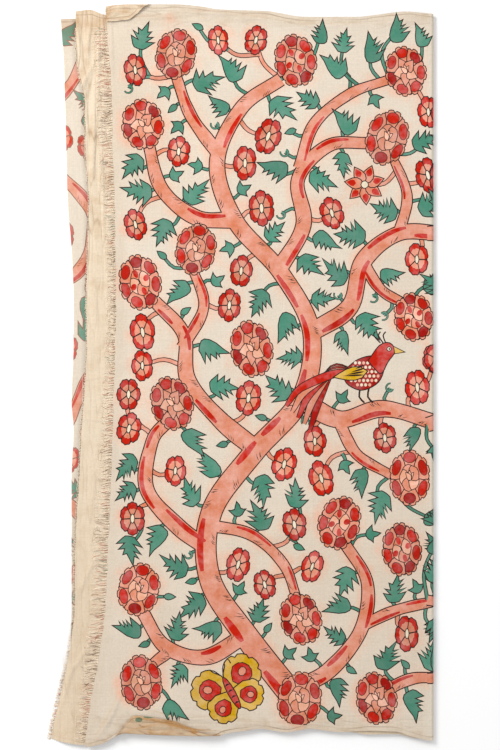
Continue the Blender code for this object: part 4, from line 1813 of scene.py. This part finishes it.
def use(tree, group, **inputs):
    """A shared effect, placed with values of its own."""
    return node(tree, "ShaderNodeGroup", {"node_tree": group}, **inputs)


print("groups and nodes can be made")


# %% Arithmetic and patterns with nodes
def math_node(tree, operation, a, b=0.0):
    """One step of arithmetic."""
    return node(tree, "ShaderNodeMath", {"operation": operation}, _0=a, _1=b).outputs[0]


def times(tree, first, *others):
    """The product of some values."""
    for other in others:
        first = math_node(tree, "MULTIPLY", first, other)
    return first


def plus(tree, first, *others):
    """The sum of some values."""
    for other in others:
        first = math_node(tree, "ADD", first, other)
    return first


def spread_of(tree, value, to, of=(0.3, 0.7)):
    """A value, such as a noise, put from one range into another."""
    made = node(
        tree, "ShaderNodeMapRange", None, Value=value,
        From_Min=of[0], From_Max=of[1], To_Min=to[0], To_Max=to[1],
    )
    return made.outputs["Result"]


def noise(tree, vector, scale=1.0, detail=2.0, stretch=None):
    """A soft noise, which may first be made finer along one axis than along another."""
    if stretch:
        vector = node(tree, "ShaderNodeMapping", None, Vector=vector, Scale=stretch).outputs["Vector"]
    return node(tree, "ShaderNodeTexNoise", None, Vector=vector, Scale=scale, Detail=detail).outputs["Fac"]


def tinted(tree, amount, base, tint, blend="MULTIPLY"):
    """A colour with some of a second one laid over it."""
    settings = {"data_type": "RGBA", "blend_type": blend}
    return node(tree, "ShaderNodeMix", settings, _0=amount, _6=base, _7=tint).outputs[2]


print("values can be added, multiplied and spread, and colours tinted")

# %% Plain weave
THREADS_PER_METRE = 2200.0
SLUB_LONG, SLUB_FINE = 22.0, 620.0
CROSSING_RISE = 0.5

weave, weave_in, weave_out = new_group(
    "plain_weave",
    [("Vector", "NodeSocketVector", None), ("Threads per Metre", "NodeSocketFloat", THREADS_PER_METRE),
     ("Slubs", "NodeSocketFloat", 0.06)],
    [("Height", "NodeSocketFloat"), ("Shade", "NodeSocketFloat")],
)
plan_in = weave_in.outputs["Vector"]
split = node(weave, "ShaderNodeSeparateXYZ", None, Vector=plan_in)
turns = times(weave, weave_in.outputs["Threads per Metre"], math.pi)
across = math_node(weave, "SINE", times(weave, split.outputs["X"], turns))
along = math_node(weave, "SINE", times(weave, split.outputs["Y"], turns))
slub_across = noise(weave, plan_in, stretch=(SLUB_LONG, SLUB_FINE, 1.0))
slub_along = noise(weave, plan_in, stretch=(SLUB_FINE, SLUB_LONG, 1.0))
slubs = math_node(weave, "SUBTRACT", plus(weave, slub_across, slub_along), 1.0)
slubs = times(weave, slubs, weave_in.outputs["Slubs"])
raised = plus(weave, times(weave, across, along, CROSSING_RISE), slubs)
weave.links.new(raised, weave_out.inputs["Height"])
weave.links.new(plus(weave, 1.0, slubs), weave_out.inputs["Shade"])
print(weave.name, "has", len(weave.nodes), "nodes")

# %% Dye laid on by hand
BRIGHTER = 0.55

wash, wash_in, wash_out = new_group(
    "hand_dyed",
    [("Vector", "NodeSocketVector", None), ("Color", "NodeSocketColor", None),
     ("Dyed", "NodeSocketFloat", 0.0), ("Unevenness", "NodeSocketFloat", 0.5)],
    [("Color", "NodeSocketColor")],
)
plan_in = wash_in.outputs["Vector"]
broad = spread_of(wash, noise(wash, plan_in, scale=38.0), to=(-0.26, 0.26))
small = spread_of(wash, noise(wash, plan_in, scale=170.0), to=(-0.10, 0.10))
patchy = times(wash, plus(wash, broad, small), wash_in.outputs["Unevenness"], wash_in.outputs["Dyed"])
toned = node(
    wash, "ShaderNodeHueSaturation", None, Color=wash_in.outputs["Color"],
    Saturation=math_node(wash, "SUBTRACT", 1.0, patchy),
    Value=plus(wash, 1.0, times(wash, patchy, BRIGHTER)),
)
wash.links.new(toned.outputs["Color"], wash_out.inputs["Color"])
print(wash.name, "has", len(wash.nodes), "nodes")

# %% Tan, stains, pleats and the hem line, with painted shade in the pleats and along the hem
TAN = (*linear(206, 170, 128), 1.0)
CREASE_TAN = (*linear(158, 126, 92), 1.0)
SWAY = (1.1, 1.1, 0.0)
PLEAT_RISE = 2.6
HEM_DIP = 0.4

aging_and_shade, aging_and_shade_in, aging_and_shade_out = new_group(
    "aged_and_shaded_cotton",
    [("Vector", "NodeSocketVector", None), ("Crease Vector", "NodeSocketVector", None),
     ("Color", "NodeSocketColor", None), ("Age", "NodeSocketFloat", 0.0),
     ("Crush", "NodeSocketFloat", 0.0), ("From Edge", "NodeSocketFloat", FAR),
     ("Tan", "NodeSocketColor", TAN), ("Crease Tan", "NodeSocketColor", CREASE_TAN)],
    [("Color", "NodeSocketColor"), ("Height", "NodeSocketFloat")],
)
plan_in, crease_in = aging_and_shade_in.outputs["Vector"], aging_and_shade_in.outputs["Crease Vector"]
crush_in = aging_and_shade_in.outputs["Crush"]
blotch = spread_of(aging_and_shade, noise(aging_and_shade, plan_in, scale=9.0, detail=4.0), to=(0.0, 0.10))
stains = spread_of(aging_and_shade, noise(aging_and_shade, plan_in, scale=42.0, detail=5.0), to=(0.0, 0.5), of=(0.48, 0.7))
worn = plus(aging_and_shade, aging_and_shade_in.outputs["Age"], times(aging_and_shade, crush_in, stains), blotch)
tanned = tinted(aging_and_shade, worn, aging_and_shade_in.outputs["Color"], aging_and_shade_in.outputs["Tan"])
sway = node(aging_and_shade, "ShaderNodeTexNoise", None, Vector=crease_in, Scale=0.8, Detail=2.0)
swayed = node(
    aging_and_shade, "ShaderNodeVectorMath", {"operation": "MULTIPLY_ADD"},
    _0=sway.outputs["Color"], _1=SWAY, _2=crease_in,
)
pleat = node(
    aging_and_shade, "ShaderNodeTexVoronoi", {"feature": "DISTANCE_TO_EDGE", "voronoi_dimensions": "2D"},
    Vector=swayed.outputs[0], Scale=1.0,
).outputs["Distance"]
# Painted shade: pleat lines and a broken line along each hem are darkened towards the crease tan.
pleat_line = spread_of(aging_and_shade, pleat, to=(1.0, 0.0), of=(0.0, 0.09))
broken = spread_of(aging_and_shade, noise(aging_and_shade, crease_in, scale=1.3), to=(0.0, 0.75), of=(0.42, 0.66))
pleat_shade = times(aging_and_shade, pleat_line, broken, crush_in)
hem_place = spread_of(aging_and_shade, noise(aging_and_shade, plan_in, scale=16.0), to=(3.0, 7.0))
off_hem = math_node(aging_and_shade, "SUBTRACT", aging_and_shade_in.outputs["From Edge"], hem_place)
hem_line = spread_of(aging_and_shade, math_node(aging_and_shade, "ABSOLUTE", off_hem), to=(1.0, 0.0), of=(0.2, 1.1))
hem_part = spread_of(aging_and_shade, noise(aging_and_shade, plan_in, scale=11.0), to=(0.08, 0.65), of=(0.4, 0.62))
hem_shade = times(aging_and_shade, hem_line, hem_part)
dirt = math_node(aging_and_shade, "MAXIMUM", pleat_shade, hem_shade)
creased = tinted(aging_and_shade, dirt, tanned, aging_and_shade_in.outputs["Crease Tan"])
crumple = noise(aging_and_shade, plan_in, scale=30.0, detail=5.0)
pleats = times(aging_and_shade, pleat, crush_in, PLEAT_RISE)
hem_dip = times(aging_and_shade, hem_shade, HEM_DIP)
raised = math_node(aging_and_shade, "SUBTRACT", plus(aging_and_shade, crumple, pleats), hem_dip)
aging_and_shade.links.new(creased, aging_and_shade_out.inputs["Color"])
aging_and_shade.links.new(raised, aging_and_shade_out.inputs["Height"])
print(aging_and_shade.name, "has", len(aging_and_shade.nodes), "nodes")

# %% [markdown]
# ## The printed cotton
#
# Its colour is built up in steps: the dye of each face, uneven as a hand leaves it, a blush where
# salmon has spread into the bare ground, then tan, stains and pleats with painted shade in them,
# the weave's own light and dark, and last painted shade beside the edge of the layer above.
# The weave, the pleats and the small crumples also make the bump. Pleats run along a turned
# border on the front layer and along the frayed edge on the second, so two stretched copies of
# the plan carry them.

# %% What a material starts from
def principled(name):
    """A new material, its node tree and its shader."""
    made = bpy.data.materials.new(name)
    made.use_nodes = True
    return made, made.node_tree, made.node_tree.nodes["Principled BSDF"]


def attribute(tree, name, output="Fac"):
    """What the mesh knows about a place."""
    return node(tree, "ShaderNodeAttribute", {"attribute_name": name}).outputs[output]


print("the sheet's attributes:", ", ".join(sorted(mesh.attributes.keys())))

# %% Printed cotton
HALO_TINT = (*linear(238, 186, 160), 1.0)
PAST_FRONT = 1.0
ALONG_BORDER = (16.0, 110.0, 1.0)
ALONG_FRAYED = (100.0, 12.0, 1.0)
WEAVE_RISE = 0.10
BUMP_REACH = 0.0014

cotton, tree, shader = principled("printed_cotton")
plan_place = node(tree, "ShaderNodeUVMap", {"uv_map": "plan"}).outputs["UV"]
dyed_mask = attribute(tree, "dyed")
washed = use(
    tree, wash, Vector=plan_place, Color=attribute(tree, "paint", "Color"), Dyed=dyed_mask, Unevenness=0.55
)
patches = spread_of(tree, noise(tree, plan_place, scale=30.0, detail=3.0), to=(0.16, 0.9), of=(0.4, 0.66))
bare = math_node(tree, "SUBTRACT", 1.0, dyed_mask)
blush = times(tree, attribute(tree, "halo"), bare, patches)
blushed = tinted(tree, blush, washed.outputs["Color"], HALO_TINT, "MIX")
plan_u = node(tree, "ShaderNodeSeparateXYZ", None, Vector=plan_place).outputs["X"]
is_second = math_node(tree, "GREATER_THAN", plan_u, PAST_FRONT)
level, upright = (
    node(tree, "ShaderNodeMapping", None, Vector=plan_place, Scale=stretch).outputs["Vector"]
    for stretch in (ALONG_BORDER, ALONG_FRAYED)
)
crease_place = node(
    tree, "ShaderNodeMix", {"data_type": "VECTOR"}, _0=is_second, _4=level, _5=upright
).outputs[1]
aged_and_shaded = use(
    tree, aging_and_shade, Vector=plan_place, Crease_Vector=crease_place, Color=blushed,
    Age=attribute(tree, "age"), Crush=attribute(tree, "crush"), From_Edge=attribute(tree, "from_edge"),
)
threads = use(tree, weave, Vector=plan_place, Threads_per_Metre=THREADS_PER_METRE, Slubs=0.13)
mottle = spread_of(tree, noise(tree, plan_place, scale=330.0, detail=3.0), to=(0.94, 1.04))
# Painted shade: the strip darkens towards the edge of the second layer that lies over it.
shade_under_edge = spread_of(tree, attribute(tree, "from_edge_above"), to=(0.72, 1.0), of=(0.0, 9.0))
shade = times(tree, threads.outputs["Shade"], mottle, shade_under_edge)
shaded = tinted(tree, 1.0, aged_and_shaded.outputs["Color"], shade)
height = plus(tree, aged_and_shaded.outputs["Height"], times(tree, threads.outputs["Height"], WEAVE_RISE))
bump = node(tree, "ShaderNodeBump", None, Strength=0.7, Distance=BUMP_REACH, Height=height)
rough = spread_of(tree, aged_and_shaded.outputs["Height"], to=(0.82, 0.95))
tree.links.new(shaded, shader.inputs["Base Color"])
tree.links.new(rough, shader.inputs["Roughness"])
tree.links.new(bump.outputs["Normal"], shader.inputs["Normal"])
shader.inputs["Specular IOR Level"].default_value = 0.2
cloth.data.materials.append(cotton)
print(cotton.name, "has", len(tree.nodes), "nodes")

# %% Loose cotton threads
loose_cotton, tree, shader = principled("loose_cotton_threads")
where = node(tree, "ShaderNodeTexCoord").outputs["Object"]
aged_and_shaded = use(tree, aging_and_shade, Vector=where, Color=attribute(tree, "thread", "Color"), Age=0.05)
fibre = spread_of(tree, noise(tree, where, scale=900.0), to=(0.9, 1.06))
shaded = tinted(tree, 1.0, aged_and_shaded.outputs["Color"], fibre)
rough = spread_of(tree, noise(tree, where, scale=500.0, detail=1.0), to=(0.8, 0.95))
tree.links.new(shaded, shader.inputs["Base Color"])
tree.links.new(rough, shader.inputs["Roughness"])
shader.inputs["Specular IOR Level"].default_value = 0.2
for obj in (fringe_front, fringe_second):
    obj.data.materials.append(loose_cotton)
print(loose_cotton.name, "is on both frayed edges")

# %% [markdown]
# ## The sheet's own facts
#
# The plan gives the sheet's size when it is spread out: the length between the two frayed ends,
# and the width between the selvedges in the front layer's middle.

# %% Flat size
MIDDLE_U = 100.0

flat_length = (second_stop(0.0) - front_start(0.0)) * MM
flat_width = (high_edge(MIDDLE_U) - low_edge(MIDDLE_U)) * MM
print("flat size", round(float(flat_length), 3), "by", round(float(flat_width), 3), "m")

# %% [markdown]
# ## Floor, light and camera
#
# The cloth was photographed from straight above on plain white, in light so soft that only the
# edges of the layers show a shadow. A white floor, a bright even sky and one large lamp from the
# upper left do the same. The camera looks straight down through a long lens. Its frame is
# 750 picture elements tall, of 1.51 mm each.

# %% Floor
FLOOR_SIZE = 8.0

bm = bmesh.new()
bmesh.ops.create_grid(bm, x_segments=1, y_segments=1, size=FLOOR_SIZE / 2)
floor_mesh = bpy.data.meshes.new("floor")
bm.to_mesh(floor_mesh)
bm.free()
floor = bpy.data.objects.new("floor", floor_mesh)
bpy.context.collection.objects.link(floor)
paper, tree, shader = principled("white_paper")
where = node(tree, "ShaderNodeTexCoord").outputs["Object"]
grain = spread_of(tree, noise(tree, where, scale=3.0), to=(0.975, 0.985))
tint = node(tree, "ShaderNodeCombineColor", None, Red=grain, Green=grain, Blue=grain)
tree.links.new(tint.outputs["Color"], shader.inputs["Base Color"])
shader.inputs["Roughness"].default_value = 0.9
shader.inputs["Specular IOR Level"].default_value = 0.0
floor_mesh.materials.append(paper)

# %% Light
SKY = 0.725
LAMP_POWER = 63.0
LAMP_SIZE = 1.4
LAMP_PLACE = (-1.7, 1.5, 1.9)

world = bpy.data.worlds.new("even_sky")
world.use_nodes = True
world.node_tree.nodes["Background"].inputs["Color"].default_value = (1.0, 1.0, 1.0, 1.0)
world.node_tree.nodes["Background"].inputs["Strength"].default_value = SKY
bpy.context.scene.world = world
lamp = bpy.data.lights.new("soft_lamp", "AREA")
lamp.shape = "DISK"
lamp.size = LAMP_SIZE
lamp.energy = LAMP_POWER
lamp_object = bpy.data.objects.new("soft_lamp", lamp)
lamp_object.location = LAMP_PLACE
lamp_object.rotation_euler = (-lamp_object.location).to_track_quat("-Z", "Y").to_euler()
bpy.context.collection.objects.link(lamp_object)
bpy.context.scene.view_settings.view_transform = "Standard"
print("lamp", round(lamp_object.location.length, 2), "m away")

# %% Camera
ELEMENT = 1.51 * MM
FRAME_WIDE, FRAME_TALL = 500, 750
CENTRE_ACROSS, CENTRE_DOWN = 239.5, 375.5
CAMERA_HEIGHT = 3.0
SENSOR = 36.0

camera = bpy.data.cameras.new("camera")
camera.sensor_fit = "AUTO"
camera.sensor_width = SENSOR
camera.lens = SENSOR * CAMERA_HEIGHT / (ELEMENT * FRAME_TALL)
camera.clip_end = 20.0
camera_object = bpy.data.objects.new("camera", camera)
camera_x = (FRAME_WIDE / 2 - CENTRE_ACROSS) * ELEMENT
camera_y = (CENTRE_DOWN - FRAME_TALL / 2) * ELEMENT
camera_object.location = (camera_x, camera_y, CAMERA_HEIGHT)
bpy.context.collection.objects.link(camera_object)
bpy.context.scene.camera = camera_object
print("lens", round(camera.lens, 1), "mm")
